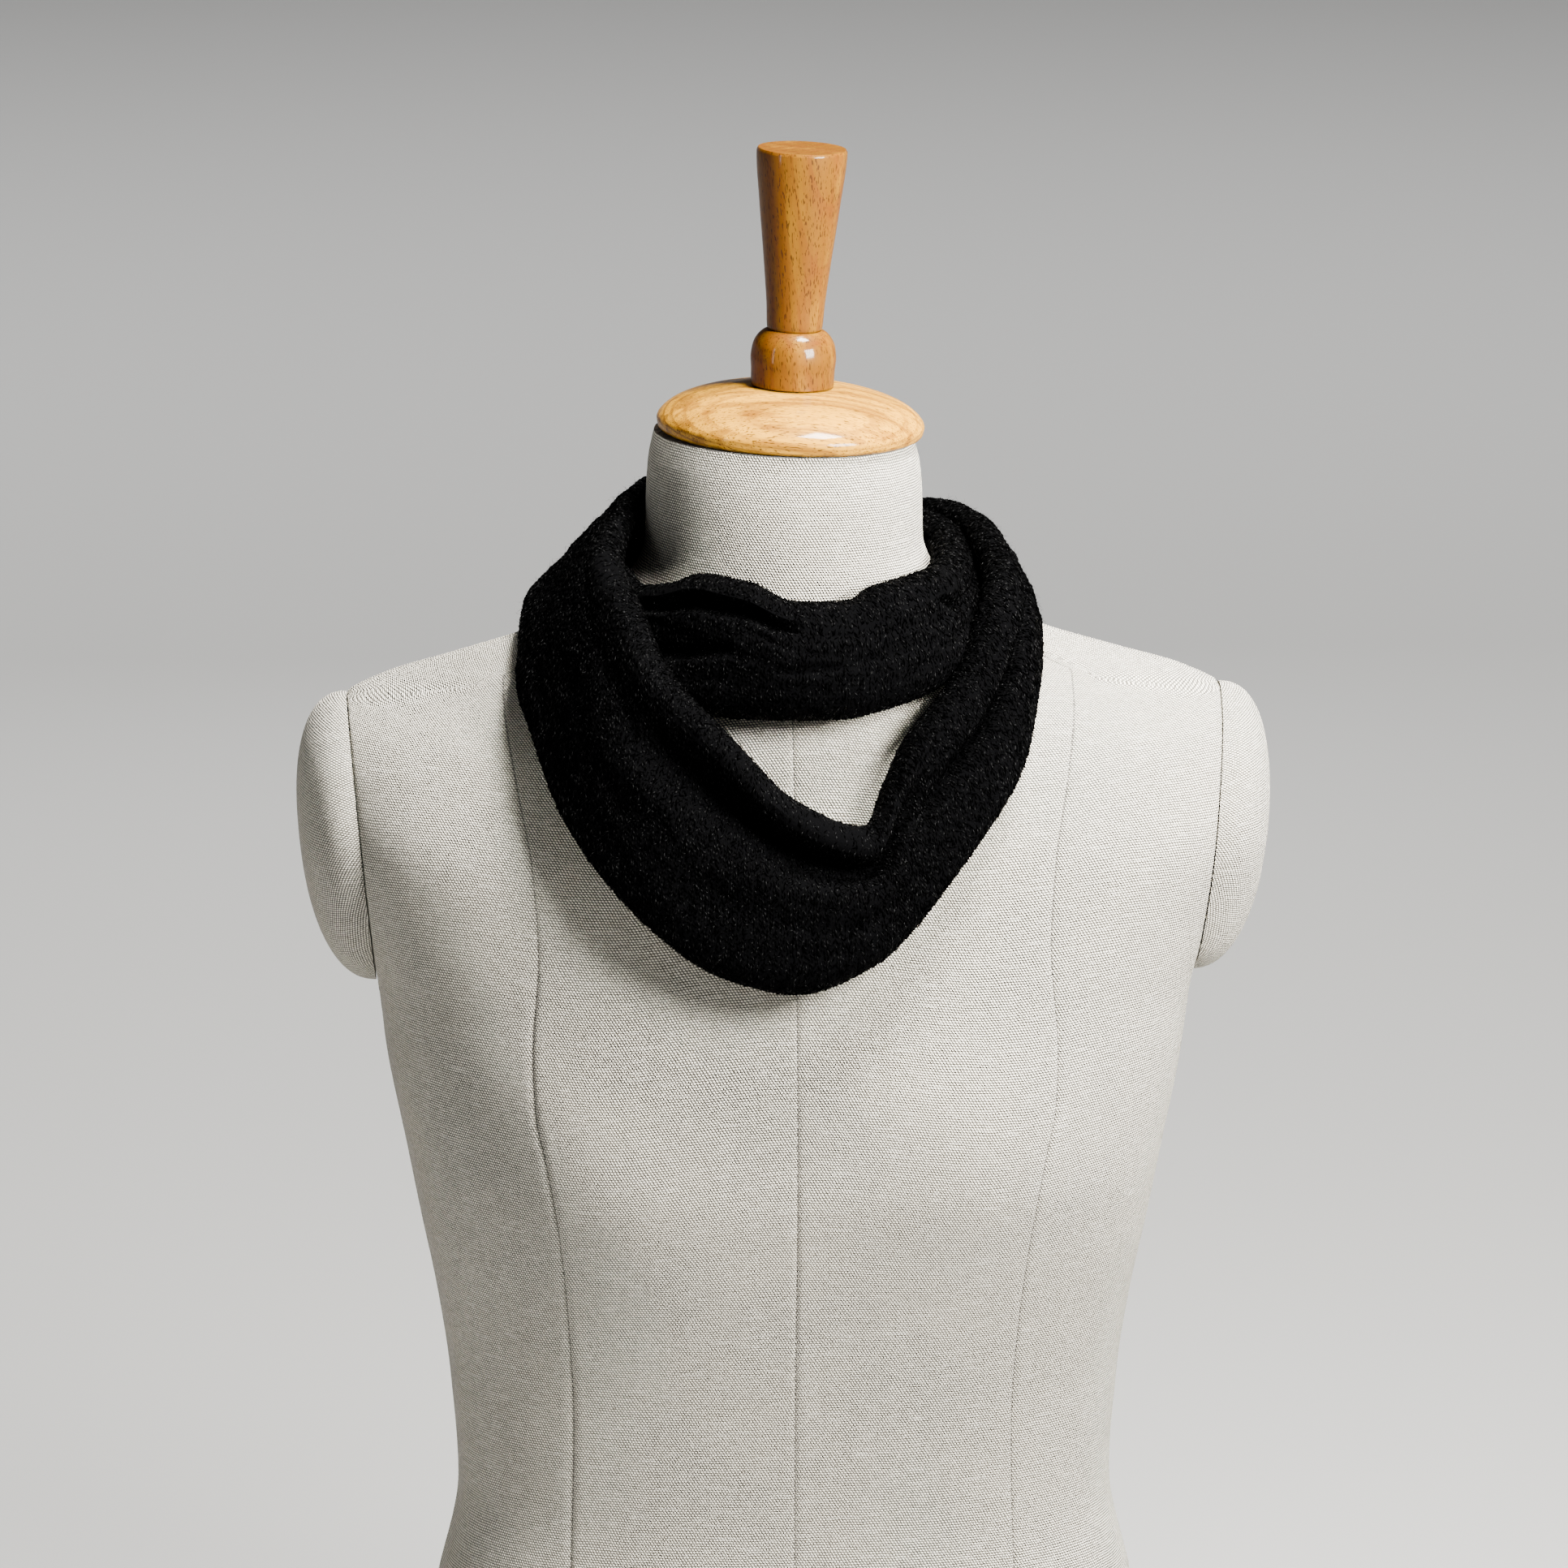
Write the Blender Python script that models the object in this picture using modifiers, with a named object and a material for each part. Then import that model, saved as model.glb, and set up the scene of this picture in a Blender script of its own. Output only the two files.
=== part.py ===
"""Knitted neck warmer, worn doubled round the neck of a canvas dress form.

Metres, +Z up. The form stands on z = 0 and faces -Y, so +X is on the right when it is seen from the front.
A turn angle of 0 degrees is the front, 90 the right, 180 the back and 270 the left.
"""
import math

import bmesh
import bpy
import numpy as np
from mathutils import Vector
from mathutils.bvhtree import BVHTree

# ---------------------------------------------------------------- driving dimensions

GAP = 0.0003                     # between pieces that touch

# Torso and neck: horizontal sections, each a superellipse with its own depth in front and behind.
TORSO_COLUMNS = ("z", "half_width", "front", "back", "power")
TORSO_SECTIONS = (
    (0.000, 0.164, 0.097, 0.099, 2.3),
    (0.003, 0.169, 0.102, 0.104, 2.3),
    (0.012, 0.172, 0.105, 0.107, 2.3),
    (0.060, 0.169, 0.103, 0.107, 2.3),
    (0.110, 0.160, 0.097, 0.101, 2.3),
    (0.160, 0.148, 0.091, 0.090, 2.3),
    (0.205, 0.139, 0.087, 0.080, 2.2),
    (0.251, 0.142, 0.090, 0.081, 2.2),
    (0.287, 0.147, 0.096, 0.085, 2.3),
    (0.323, 0.154, 0.104, 0.090, 2.4),
    (0.355, 0.160, 0.109, 0.094, 2.4),
    (0.391, 0.167, 0.109, 0.098, 2.4),
    (0.424, 0.1714, 0.105, 0.099, 2.5),
    (0.440, 0.1764, 0.103, 0.099, 2.5),
    (0.456, 0.182, 0.100, 0.099, 2.5),
    (0.488, 0.193, 0.093, 0.096, 2.5),
    (0.518, 0.197, 0.082, 0.089, 2.3),
    (0.533, 0.194, 0.076, 0.083, 2.1),
    (0.546, 0.184, 0.069, 0.077, 1.8),
    (0.555, 0.167, 0.065, 0.073, 1.5),
    (0.563, 0.140, 0.062, 0.070, 1.4),
    (0.572, 0.110, 0.060, 0.066, 1.4),
    (0.585, 0.080, 0.059, 0.062, 1.6),
    (0.600, 0.062, 0.058, 0.059, 1.9),
    (0.612, 0.0578, 0.0575, 0.0575, 2.0),
    (0.630, 0.0575, 0.0575, 0.0575, 2.0),
    (0.644, 0.0565, 0.0565, 0.0565, 2.0),
    (0.655, 0.0540, 0.0540, 0.0540, 2.0),
)
TORSO_RINGS = 32
TORSO_POINTS = 46
FOOT_HEIGHT = 0.003              # the small bevel round the underside
OUTLINE_SAMPLES = 1300
NECK_TOP = 0.655
LEAN_FROM = 0.630                # above this height the neck follows the lean of the wood
LEAN = math.radians(2.4)

# Bust: two soft crowns on the front.
BUST_X = 0.082
BUST_Z = 0.368
BUST_RISE = 0.014
BUST_SPREAD = (0.046, 0.050)     # across and up

# Armholes: a slanted flat on each side, and the padded cap that covers it.
ARMHOLE_Z = (0.424, 0.546)
ARMHOLE_X = (0.1714, 0.1826)     # at the lower and the upper end
ARMHOLE_MARGIN = 0.020           # the flat is cut this far past both ends
ARMHOLE_REACH = 0.120            # further from its middle than any point of its edge
HALVINGS = 40                    # steps in the search for that edge
CAP_CENTRE = (0.002, 0.485)      # y and z of the middle of the armhole
CAP_RISE = 0.026
CAP_POWER = 2.3
CAP_RINGS = 8
CAP_LAST_RING = 84.0             # degrees round the dome, before its small flat crown
CAP_POINTS = 32

# Neck warmer: a flattened tube of knit wound twice round the neck. Each row is a section in the
# upright half-plane at its turn angle: its top edge, its low edge, its thickness, and how far its
# middle arches out. -90 to 90 is the low loop on the chest, 90 to 270 the outer strand behind,
# 270 to 450 the high loop in front of the neck, and 450 to 630 the inner strand behind, which
# climbs over the outer one and becomes the low loop.
KNIT_COLUMNS = ("turn", "top_r", "top_z", "low_r", "low_z", "thick", "arch")
KNIT_SECTIONS = (
    (-90, 0.062, 0.627, 0.106, 0.580, 0.010, 0.000),
    (-75, 0.070, 0.623, 0.113, 0.568, 0.013, 0.001),
    (-60, 0.083, 0.617, 0.124, 0.548, 0.018, 0.003),
    (-45, 0.096, 0.605, 0.127, 0.508, 0.021, 0.003),
    (-30, 0.104, 0.574, 0.125, 0.474, 0.021, 0.002),
    (-15, 0.105, 0.549, 0.120, 0.452, 0.021, 0.000),
    (0, 0.106, 0.523, 0.118, 0.445, 0.022, 0.000),
    (15, 0.108, 0.512, 0.119, 0.456, 0.022, 0.000),
    (22, 0.100, 0.528, 0.120, 0.468, 0.021, 0.000),
    (30, 0.094, 0.545, 0.121, 0.486, 0.020, 0.001),
    (45, 0.100, 0.568, 0.123, 0.520, 0.020, 0.002),
    (60, 0.095, 0.596, 0.113, 0.553, 0.018, 0.002),
    (75, 0.088, 0.608, 0.105, 0.572, 0.015, 0.001),
    (90, 0.081, 0.615, 0.100, 0.580, 0.013, 0.001),
    (120, 0.082, 0.616, 0.100, 0.573, 0.013, 0.001),
    (150, 0.086, 0.610, 0.100, 0.561, 0.014, 0.002),
    (180, 0.087, 0.589, 0.099, 0.545, 0.017, 0.002),
    (200, 0.080, 0.590, 0.094, 0.550, 0.016, 0.001),
    (225, 0.074, 0.597, 0.090, 0.562, 0.012, 0.000),
    (250, 0.068, 0.601, 0.086, 0.578, 0.009, 0.000),
    (270, 0.067, 0.604, 0.083, 0.592, 0.008, 0.000),
    (290, 0.069, 0.602, 0.083, 0.583, 0.011, 0.000),
    (300, 0.070, 0.600, 0.084, 0.572, 0.015, 0.000),
    (315, 0.069, 0.602, 0.084, 0.561, 0.020, 0.000),
    (330, 0.068, 0.608, 0.086, 0.553, 0.021, 0.000),
    (345, 0.068, 0.606, 0.088, 0.550, 0.024, 0.001),
    (360, 0.071, 0.599, 0.088, 0.549, 0.026, 0.002),
    (375, 0.071, 0.598, 0.088, 0.549, 0.026, 0.002),
    (390, 0.071, 0.603, 0.088, 0.554, 0.025, 0.001),
    (405, 0.070, 0.605, 0.087, 0.561, 0.024, 0.000),
    (420, 0.069, 0.606, 0.083, 0.571, 0.022, 0.000),
    (435, 0.067, 0.609, 0.078, 0.583, 0.018, 0.000),
    (450, 0.066, 0.612, 0.075, 0.591, 0.016, 0.000),
    (480, 0.066, 0.615, 0.076, 0.594, 0.015, 0.000),
    (510, 0.066, 0.621, 0.075, 0.594, 0.015, 0.000),
    (540, 0.066, 0.627, 0.081, 0.598, 0.017, 0.000),
    (560, 0.065, 0.628, 0.090, 0.599, 0.016, 0.000),
    (585, 0.065, 0.628, 0.097, 0.590, 0.012, 0.000),
    (610, 0.063, 0.627, 0.103, 0.582, 0.010, 0.000),
    (630, 0.062, 0.627, 0.106, 0.580, 0.010, 0.000),
)

# Folds: long hollows pressed into the outer side, from one turn to another, at a share of the width.
FOLD_COLUMNS = ("start", "end", "share_start", "share_end", "width", "depth")
KNIT_FOLDS = (
    (-58, 26, 0.30, 0.24, 0.11, 0.008),      # trough behind the front ridge of the low loop
    (24, 84, 0.40, 0.16, 0.12, 0.006),       # right side, between the inner strip and the main band
    (298, 366, 0.16, 0.10, 0.08, 0.009),     # hollow between the two layers at the high loop's upper edge
    (318, 352, 0.62, 0.44, 0.12, 0.006),     # crease that runs up from the high loop's lower left
    (392, 412, 0.20, 0.30, 0.10, 0.004),     # short dent on its right
    (100, 176, 0.42, 0.55, 0.13, 0.005),     # behind, on the outer strand
    (470, 560, 0.45, 0.35, 0.14, 0.002),     # behind, on the inner strand
    (566, 622, 0.55, 0.68, 0.10, 0.005),     # behind left, where it lies over the other strand
)

# Stretches that show: one node each.
STRETCHES = (
    ("scarf_low_front", -97, 97),
    ("scarf_outer_back", 97, 282),
    ("scarf_high_front", 282, 452),
    ("scarf_inner_back", 452, 623),
)
TWO_TURNS = 720.0                # degrees of the whole loop
KNIT_STEP = 8.0                  # degrees between rings
END_RING = 1.2                   # degrees: each open end runs level for this far, so that it ends square
KNIT_WALL = 0.0025
FOLD_FADE = 0.6                  # power of the sine along a fold: a low one keeps its depth nearly to the ends
OUTER_POINTS = 13
INNER_POINTS = 6
EDGE_POINTS = 4                  # inside each rounded edge
REST_GAP = 0.0007                # cloth to form

# Turned wood: (radius, height) of each profile, from the top of its axis down to its underside.
# Heights are above the neck top.
CAP_PROFILE = (
    (0.0, 0.0205), (0.020, 0.0200), (0.030, 0.0185), (0.040, 0.0160), (0.048, 0.0128),
    (0.0535, 0.0088), (0.0557, 0.0052), (0.0550, 0.0020), (0.0520, 0.0003), (0.0, 0.0003),
)
BULB_PROFILE = (
    (0.0, 0.0440), (0.0118, 0.0440), (0.0150, 0.0415), (0.0172, 0.0370), (0.0178, 0.0320),
    (0.0174, 0.0270), (0.0172, 0.0208), (0.0, 0.0208),
)
FINIAL_PROFILE = (
    (0.0, 0.1198), (0.0182, 0.1198), (0.0188, 0.1186), (0.0168, 0.0970), (0.0142, 0.0745),
    (0.0122, 0.0555), (0.0112, 0.0443), (0.0, 0.0443),
)
WOOD_STEPS = 28
WOOD_X = 0.0025                  # the wood sits a little off the middle of the neck
MERGE = 0.0001

SHARP_ANGLE = math.radians(50.0)
TINY = 1e-6

CANVAS = ("form_canvas", (0.62, 0.59, 0.54), 0.85)
WOOD = ("form_wood", (0.62, 0.36, 0.13), 0.28)
KNIT = ("black_knit", (0.012, 0.012, 0.014), 0.95)


# ---------------------------------------------------------------- helpers

def column(rows, names, name):
    """One named column of a table, as an array."""
    return np.array([row[names.index(name)] for row in rows], dtype=float)


def smooth(at, knots, values):
    """Monotone cubic through (knots, values): it passes each point and never overshoots."""
    at = np.clip(at, knots[0], knots[-1])
    step = np.diff(knots)
    slope = np.diff(values) / step
    inner = np.zeros_like(values)
    same = slope[1:] * slope[:-1] > 0.0
    before = step[:-1] + 2.0 * step[1:]
    after = 2.0 * step[:-1] + step[1:]
    safe = np.where(same, slope[:-1], 1.0), np.where(same, slope[1:], 1.0)
    inner[1:-1] = np.where(same, (before + after) / (after / safe[0] + before / safe[1]), 0.0)
    inner[0] = slope[0]
    inner[-1] = slope[-1]
    cell = np.clip(np.searchsorted(knots, at, side="right") - 1, 0, len(knots) - 2)
    t = (at - knots[cell]) / step[cell]
    return (values[cell] * (1.0 + 2.0 * t) * (1.0 - t) ** 2
            + inner[cell] * step[cell] * t * (1.0 - t) ** 2
            + values[cell + 1] * t * t * (3.0 - 2.0 * t)
            + inner[cell + 1] * step[cell] * t * t * (t - 1.0))


def torso_size(z, name):
    """A size of the torso at height z."""
    heights = column(TORSO_SECTIONS, TORSO_COLUMNS, "z")
    return smooth(z, heights, column(TORSO_SECTIONS, TORSO_COLUMNS, name))


def full_radius(turn, z):
    """Distance from the axis to the torso before its armholes are cut flat; turn in degrees."""
    across = np.abs(np.sin(np.radians(turn)))
    along = np.cos(np.radians(turn))
    depth = np.where(along > 0.0, torso_size(z, "front"), torso_size(z, "back"))
    power = torso_size(z, "power")
    ratio = (across / torso_size(z, "half_width")) ** power + (np.abs(along) / depth) ** power
    radius = ratio ** (-1.0 / power)
    x = radius * np.sin(np.radians(turn))
    spread = ((np.abs(x) - BUST_X) / BUST_SPREAD[0]) ** 2 + ((z - BUST_Z) / BUST_SPREAD[1]) ** 2
    return radius + np.where(along > 0.0, BUST_RISE * np.exp(-spread) * along, 0.0)


def armhole_x(z):
    """Distance of the flat armhole from the middle plane at height z."""
    share = (z - ARMHOLE_Z[0]) / (ARMHOLE_Z[1] - ARMHOLE_Z[0])
    return ARMHOLE_X[0] + (ARMHOLE_X[1] - ARMHOLE_X[0]) * share


def form_radius(turn, z):
    """Distance from the axis to the torso's surface."""
    radius = full_radius(turn, z)
    across = np.maximum(np.abs(np.sin(np.radians(turn))), TINY)
    inside = (z > ARMHOLE_Z[0] - ARMHOLE_MARGIN) & (z < ARMHOLE_Z[1] + ARMHOLE_MARGIN)
    return np.where(inside, np.minimum(radius, armhole_x(z) / across), radius)


def place(turn, radius, z):
    """Points at a turn angle, a distance from the axis and a height."""
    angle, radius, z = np.broadcast_arrays(np.radians(turn), radius, z)
    return np.stack([radius * np.sin(angle), -radius * np.cos(angle), z], axis=-1)


def loft(points, capped=False):
    """A mesh from rings of points, rings x points x 3: each ring closed, the rings run along it."""
    rings, around = points.shape[:2]
    mesh = bpy.data.meshes.new("loft")
    index = np.arange(rings * around).reshape(rings, around)
    here = index[:-1]
    there = index[1:]
    quads = np.stack([here, np.roll(here, -1, axis=1), np.roll(there, -1, axis=1), there], axis=-1)
    faces = quads.reshape(-1, 4).tolist()
    if capped:
        faces.append(index[0][::-1].tolist())
        faces.append(index[-1].tolist())
    mesh.from_pydata(points.reshape(-1, 3).tolist(), [], faces)
    mesh.update()
    return mesh


def face_outwards(mesh):
    """Turn the faces of a closed mesh so that all point out."""
    work = bmesh.new()
    work.from_mesh(mesh)
    bmesh.ops.recalc_face_normals(work, faces=work.faces)
    work.to_mesh(mesh)
    work.free()


def material(name, colour, roughness):
    """A Principled material, made once."""
    found = bpy.data.materials.get(name)
    if found:
        return found
    made = bpy.data.materials.new(name)
    made.use_nodes = True
    shader = made.node_tree.nodes["Principled BSDF"]
    shader.inputs["Base Color"].default_value = (*colour, 1.0)
    shader.inputs["Roughness"].default_value = roughness
    shader.inputs["Metallic"].default_value = 0.0
    return made


def add_object(name, mesh, finish, collection):
    """An object for a mesh, with its own material."""
    mesh.name = name
    mesh.shade_smooth()
    mesh.set_sharp_from_angle(angle=SHARP_ANGLE)
    made = bpy.data.objects.new(name, mesh)
    made.data.materials.append(material(f"{finish[0]}_{name}", *finish[1:]))
    collection.objects.link(made)
    return made


# ---------------------------------------------------------------- dress form

def ring_heights():
    """Heights of the torso's rings, evenly spaced along its outline seen from the front."""
    fine = np.linspace(0.0, NECK_TOP, OUTLINE_SAMPLES)
    width = torso_size(fine, "half_width")
    travelled = np.concatenate([[0.0], np.cumsum(np.hypot(np.diff(fine), np.diff(width)))])
    even = np.interp(np.linspace(0.0, travelled[-1], TORSO_RINGS), travelled, fine)
    return np.concatenate([[0.0, FOOT_HEIGHT], even[1:]])


def build_torso(collection):
    """The torso and neck: one closed loft with a flat underside and a leaning top."""
    turn, z = np.meshgrid(np.arange(TORSO_POINTS) * 360.0 / TORSO_POINTS, ring_heights())
    points = place(turn, form_radius(turn, z), z)
    share = np.clip((z - LEAN_FROM) / (NECK_TOP - LEAN_FROM), 0.0, 1.0)
    points[..., 2] -= points[..., 0] * math.tan(LEAN) * share
    mesh = loft(points, capped=True)
    face_outwards(mesh)
    return add_object("torso", mesh, CANVAS, collection)


def armhole_outline(angle):
    """Distance from the armhole's middle to its edge, in the plane of the armhole."""
    near = np.zeros_like(angle)
    far = np.full_like(angle, ARMHOLE_REACH)
    for _ in range(HALVINGS):
        middle = 0.5 * (near + far)
        y = CAP_CENTRE[0] + middle * np.cos(angle)
        z = CAP_CENTRE[1] + middle * np.sin(angle)
        x = armhole_x(z)
        inside = np.hypot(x, y) < full_radius(np.degrees(np.arctan2(x, -y)), z)
        near = np.where(inside, middle, near)
        far = np.where(inside, far, middle)
    return near


def build_shoulder_cap(name, side, collection):
    """A padded dome on the armhole, side +1 at +X and -1 at -X."""
    angle = np.arange(CAP_POINTS) * 2.0 * math.pi / CAP_POINTS
    reach = armhole_outline(angle)
    climb = np.radians(np.linspace(0.0, CAP_LAST_RING, CAP_RINGS))[:, None]
    rise = np.sin(climb) ** (2.0 / CAP_POWER)
    size = np.cos(climb) ** (2.0 / CAP_POWER)
    y = CAP_CENTRE[0] + size * reach * np.cos(angle)
    z = CAP_CENTRE[1] + size * reach * np.sin(angle)
    x = side * (armhole_x(z) + GAP + CAP_RISE * rise)
    mesh = loft(np.stack([x, y, z], axis=-1), capped=True)
    face_outwards(mesh)
    return add_object(name, mesh, CANVAS, collection)


def build_turned(name, profile, collection):
    """A turned piece of wood on the leaning axis of the neck."""
    mesh = bpy.data.meshes.new(name)
    corners = [(radius, 0.0, height) for radius, height in profile]
    mesh.from_pydata(corners, [(i, i + 1) for i in range(len(corners) - 1)], [])
    made = add_object(name, mesh, WOOD, collection)
    made.location = (WOOD_X, 0.0, NECK_TOP - WOOD_X * math.tan(LEAN))
    made.rotation_euler = (0.0, LEAN, 0.0)
    screw = made.modifiers.new("turn", "SCREW")
    screw.axis = "Z"
    screw.steps = WOOD_STEPS
    screw.render_steps = WOOD_STEPS
    screw.use_merge_vertices = True
    screw.merge_threshold = MERGE
    return made


# ---------------------------------------------------------------- neck warmer

def knit_size(turn, name):
    """A size of the band at a turn angle; the last row of the table runs on into the first."""
    turns = column(KNIT_SECTIONS, KNIT_COLUMNS, "turn")
    sizes = column(KNIT_SECTIONS, KNIT_COLUMNS, name)
    turns = np.concatenate([turns[-2:-1] - TWO_TURNS, turns, turns[1:2] + TWO_TURNS])
    sizes = np.concatenate([sizes[-2:-1], sizes, sizes[1:2]])
    return smooth(turn, turns, sizes)


def band_outline():
    """The section as shares of the band's width and unit offsets, once round from the top edge.

    The outer side comes first, then the rounded low edge, the inner side and the rounded top edge.
    """
    arc = np.linspace(0.0, math.pi, EDGE_POINTS + 2)[1:-1]
    outer = np.linspace(0.0, 1.0, OUTER_POINTS)
    inner = np.linspace(1.0, 0.0, INNER_POINTS)
    share = np.concatenate([outer, np.ones(EDGE_POINTS), inner, np.zeros(EDGE_POINTS)])
    along = np.concatenate([0.0 * outer, np.sin(arc), 0.0 * inner, -np.sin(arc)])
    across = np.concatenate([1.0 + 0.0 * outer, np.cos(arc), -1.0 + 0.0 * inner, -np.cos(arc)])
    return share, along, across


def fold_depth(turn, share):
    """Depth of the folds at a turn and a share of the width: a soft trough, fading out at both ends."""
    depth = 0.0 * turn * share
    for row in KNIT_FOLDS:
        fold = dict(zip(FOLD_COLUMNS, row))
        run = np.clip((turn - fold["start"]) / (fold["end"] - fold["start"]), 0.0, 1.0)
        middle = fold["share_start"] + (fold["share_end"] - fold["share_start"]) * run
        fade = np.sin(math.pi * run) ** FOLD_FADE
        depth = depth + fold["depth"] * fade * np.exp(-((share - middle) / fold["width"]) ** 2)
    return depth


def band_points(stations, sections):
    """Points of the tube's outer surface: at each station angle, the section of its section angle."""
    share, along, across = (part[None, :] for part in band_outline())
    turn = np.asarray(sections, dtype=float)[:, None]
    top = np.stack([knit_size(turn, "top_r"), knit_size(turn, "top_z")], axis=-1)
    low = np.stack([knit_size(turn, "low_r"), knit_size(turn, "low_z")], axis=-1)
    width = np.linalg.norm(low - top, axis=-1)
    down = (low - top) / width[..., None]
    out = np.stack([-down[..., 1], down[..., 0]], axis=-1)
    half = 0.5 * knit_size(turn, "thick")
    travel = half + share * (width - 2.0 * half) + along * half
    rise = across * half + knit_size(turn, "arch") * 4.0 * share * (1.0 - share)
    is_outer = np.arange(across.size)[None, :] < OUTER_POINTS
    rise = rise - np.where(is_outer, fold_depth(turn, share), 0.0)
    flat = top + travel[..., None] * down + rise[..., None] * out
    return place(np.asarray(stations, dtype=float)[:, None], flat[..., 0], flat[..., 1])


def push_clear(points, tree, gap):
    """Move each point that is nearer than the gap to a surface straight out to that gap."""
    flat = points.reshape(-1, 3)
    for i, point in enumerate(flat):
        spot, normal, _, _ = tree.find_nearest(Vector(point))
        if (Vector(point) - spot).dot(normal) < gap:
            flat[i] = spot + normal * gap
    return flat.reshape(points.shape)


def build_stretch(name, start, end, tree, collection):
    """One stretch of the knit tube: an open sweep whose wall grows inwards."""
    trim = np.degrees(0.5 * GAP / knit_size(np.array([start, end], dtype=float), "top_r"))
    rings = max(2, round((end - start) / KNIT_STEP)) + 1
    turns = np.linspace(start + trim[0], end - trim[1], rings)
    level = [turns[0] + END_RING], turns[1:-1], [turns[-1] - END_RING]
    stations = np.concatenate([turns[:1], *level, turns[-1:]])
    sections = np.concatenate([turns[:1], turns, turns[-1:]])
    points = push_clear(band_points(stations, sections), tree, REST_GAP)
    made = add_object(name, loft(points), KNIT, collection)
    wall = made.modifiers.new("wall", "SOLIDIFY")
    wall.thickness = KNIT_WALL
    wall.offset = -1.0
    return made


# ---------------------------------------------------------------- build

def main():
    """Empty the scene and build every piece."""
    for old in list(bpy.data.objects):
        bpy.data.objects.remove(old, do_unlink=True)
    collection = bpy.data.collections.new("neck_warmer_on_dress_form")
    bpy.context.scene.collection.children.link(collection)
    torso = build_torso(collection)
    build_shoulder_cap("shoulder_cap_right", 1.0, collection)
    build_shoulder_cap("shoulder_cap_left", -1.0, collection)
    build_turned("neck_cap", CAP_PROFILE, collection)
    build_turned("bulb_collar", BULB_PROFILE, collection)
    build_turned("finial", FINIAL_PROFILE, collection)
    corners = [v.co for v in torso.data.vertices]
    faces = [p.vertices for p in torso.data.polygons]
    tree = BVHTree.FromPolygons(corners, faces)
    for name, start, end in STRETCHES:
        build_stretch(name, start, end, tree, collection)


main()
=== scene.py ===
# %% [markdown]
# # A knitted neck warmer on a dress form
#
# The real thing is one endless tube of soft black knit. It is pulled over the head, crossed, and
# worn doubled: a high loop hugs the neck and a low loop hangs on the chest, on a dress form of
# padded canvas with a turned wooden cap and handle. This lesson dresses the solid model of the two.
# The first cell loads that model as a fixed frame, so every size below is in metres, in its place.

# %% Load the frame
import math

import bpy
import numpy as np
from mathutils import Matrix, Vector


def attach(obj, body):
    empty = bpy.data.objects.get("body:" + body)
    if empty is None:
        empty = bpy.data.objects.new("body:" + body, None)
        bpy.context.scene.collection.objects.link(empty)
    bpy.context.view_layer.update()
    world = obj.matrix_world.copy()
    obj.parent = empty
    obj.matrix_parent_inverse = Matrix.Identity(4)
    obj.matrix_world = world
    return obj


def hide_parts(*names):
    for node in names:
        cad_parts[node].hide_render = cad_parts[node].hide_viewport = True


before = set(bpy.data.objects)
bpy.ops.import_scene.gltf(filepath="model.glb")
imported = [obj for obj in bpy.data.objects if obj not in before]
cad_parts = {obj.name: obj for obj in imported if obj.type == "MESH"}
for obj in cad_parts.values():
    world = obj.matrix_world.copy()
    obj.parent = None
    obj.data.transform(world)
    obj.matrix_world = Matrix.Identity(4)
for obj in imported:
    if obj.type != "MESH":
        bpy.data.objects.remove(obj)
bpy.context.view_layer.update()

# %% [markdown]
# ## The camera first
#
# The photograph was taken from a few metres away with a long lens, from a little above the
# shoulders. The neck is a known width, so the distance, tilt and turn can be plain numbers instead
# of a camera moved by eye. The lens has no shift, so other views can use it as well.

# %% Camera
IMAGE_SIZE = 1932  # pixels, of the square picture
SCALE_AT_AIM = 0.000338  # metres a pixel, at the aim point
CAMERA_DISTANCE = 3.5
CAMERA_PITCH = math.radians(13.4)  # looking down
CAMERA_TURN = math.radians(-3.0)  # round to the left of the front
AIM_POINT = Vector((0.0, 0.0, 0.615))
AIM_PIXEL_DOWN = 650  # the aim point shows this far from the top
SENSOR_MM = 36.0


def add_camera():
    """A camera turned about Z, tipped down, and raised until the aim point shows in its place."""
    right = Vector((math.cos(CAMERA_TURN), math.sin(CAMERA_TURN), 0.0))
    level = Vector((-math.sin(CAMERA_TURN), math.cos(CAMERA_TURN), 0.0))
    forward = level * math.cos(CAMERA_PITCH) - Vector((0.0, 0.0, math.sin(CAMERA_PITCH)))
    up = right.cross(forward)
    rise = (IMAGE_SIZE / 2 - AIM_PIXEL_DOWN) * SCALE_AT_AIM
    lens = bpy.data.cameras.new("camera")
    lens.sensor_width = SENSOR_MM
    lens.lens = SENSOR_MM * CAMERA_DISTANCE / (IMAGE_SIZE * SCALE_AT_AIM)
    lens.clip_end = 30.0
    made = bpy.data.objects.new("camera", lens)
    bpy.context.scene.collection.objects.link(made)
    turned = Matrix((right, up, -forward)).transposed().to_4x4()
    place = AIM_POINT - forward * CAMERA_DISTANCE - up * rise
    made.matrix_world = Matrix.Translation(place) @ turned
    bpy.context.scene.camera = made
    return made


camera = add_camera()
print("lens", round(camera.data.lens, 1), "mm")

# %% [markdown]
# ## From a grid of points to a mesh
#
# Cloth, canvas and turned wood are all surfaces with two parameters: one along the piece and one
# across it. A piece is therefore a grid of points, rows by columns, worked out in whole arrays.
# One function joins the grid into faces. It also stores the pattern map, a second pair of numbers
# for each corner in metres on the surface, so that a weave keeps its true size wherever it turns.

# %% Grid to mesh
SHARP = math.radians(40.0)


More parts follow.
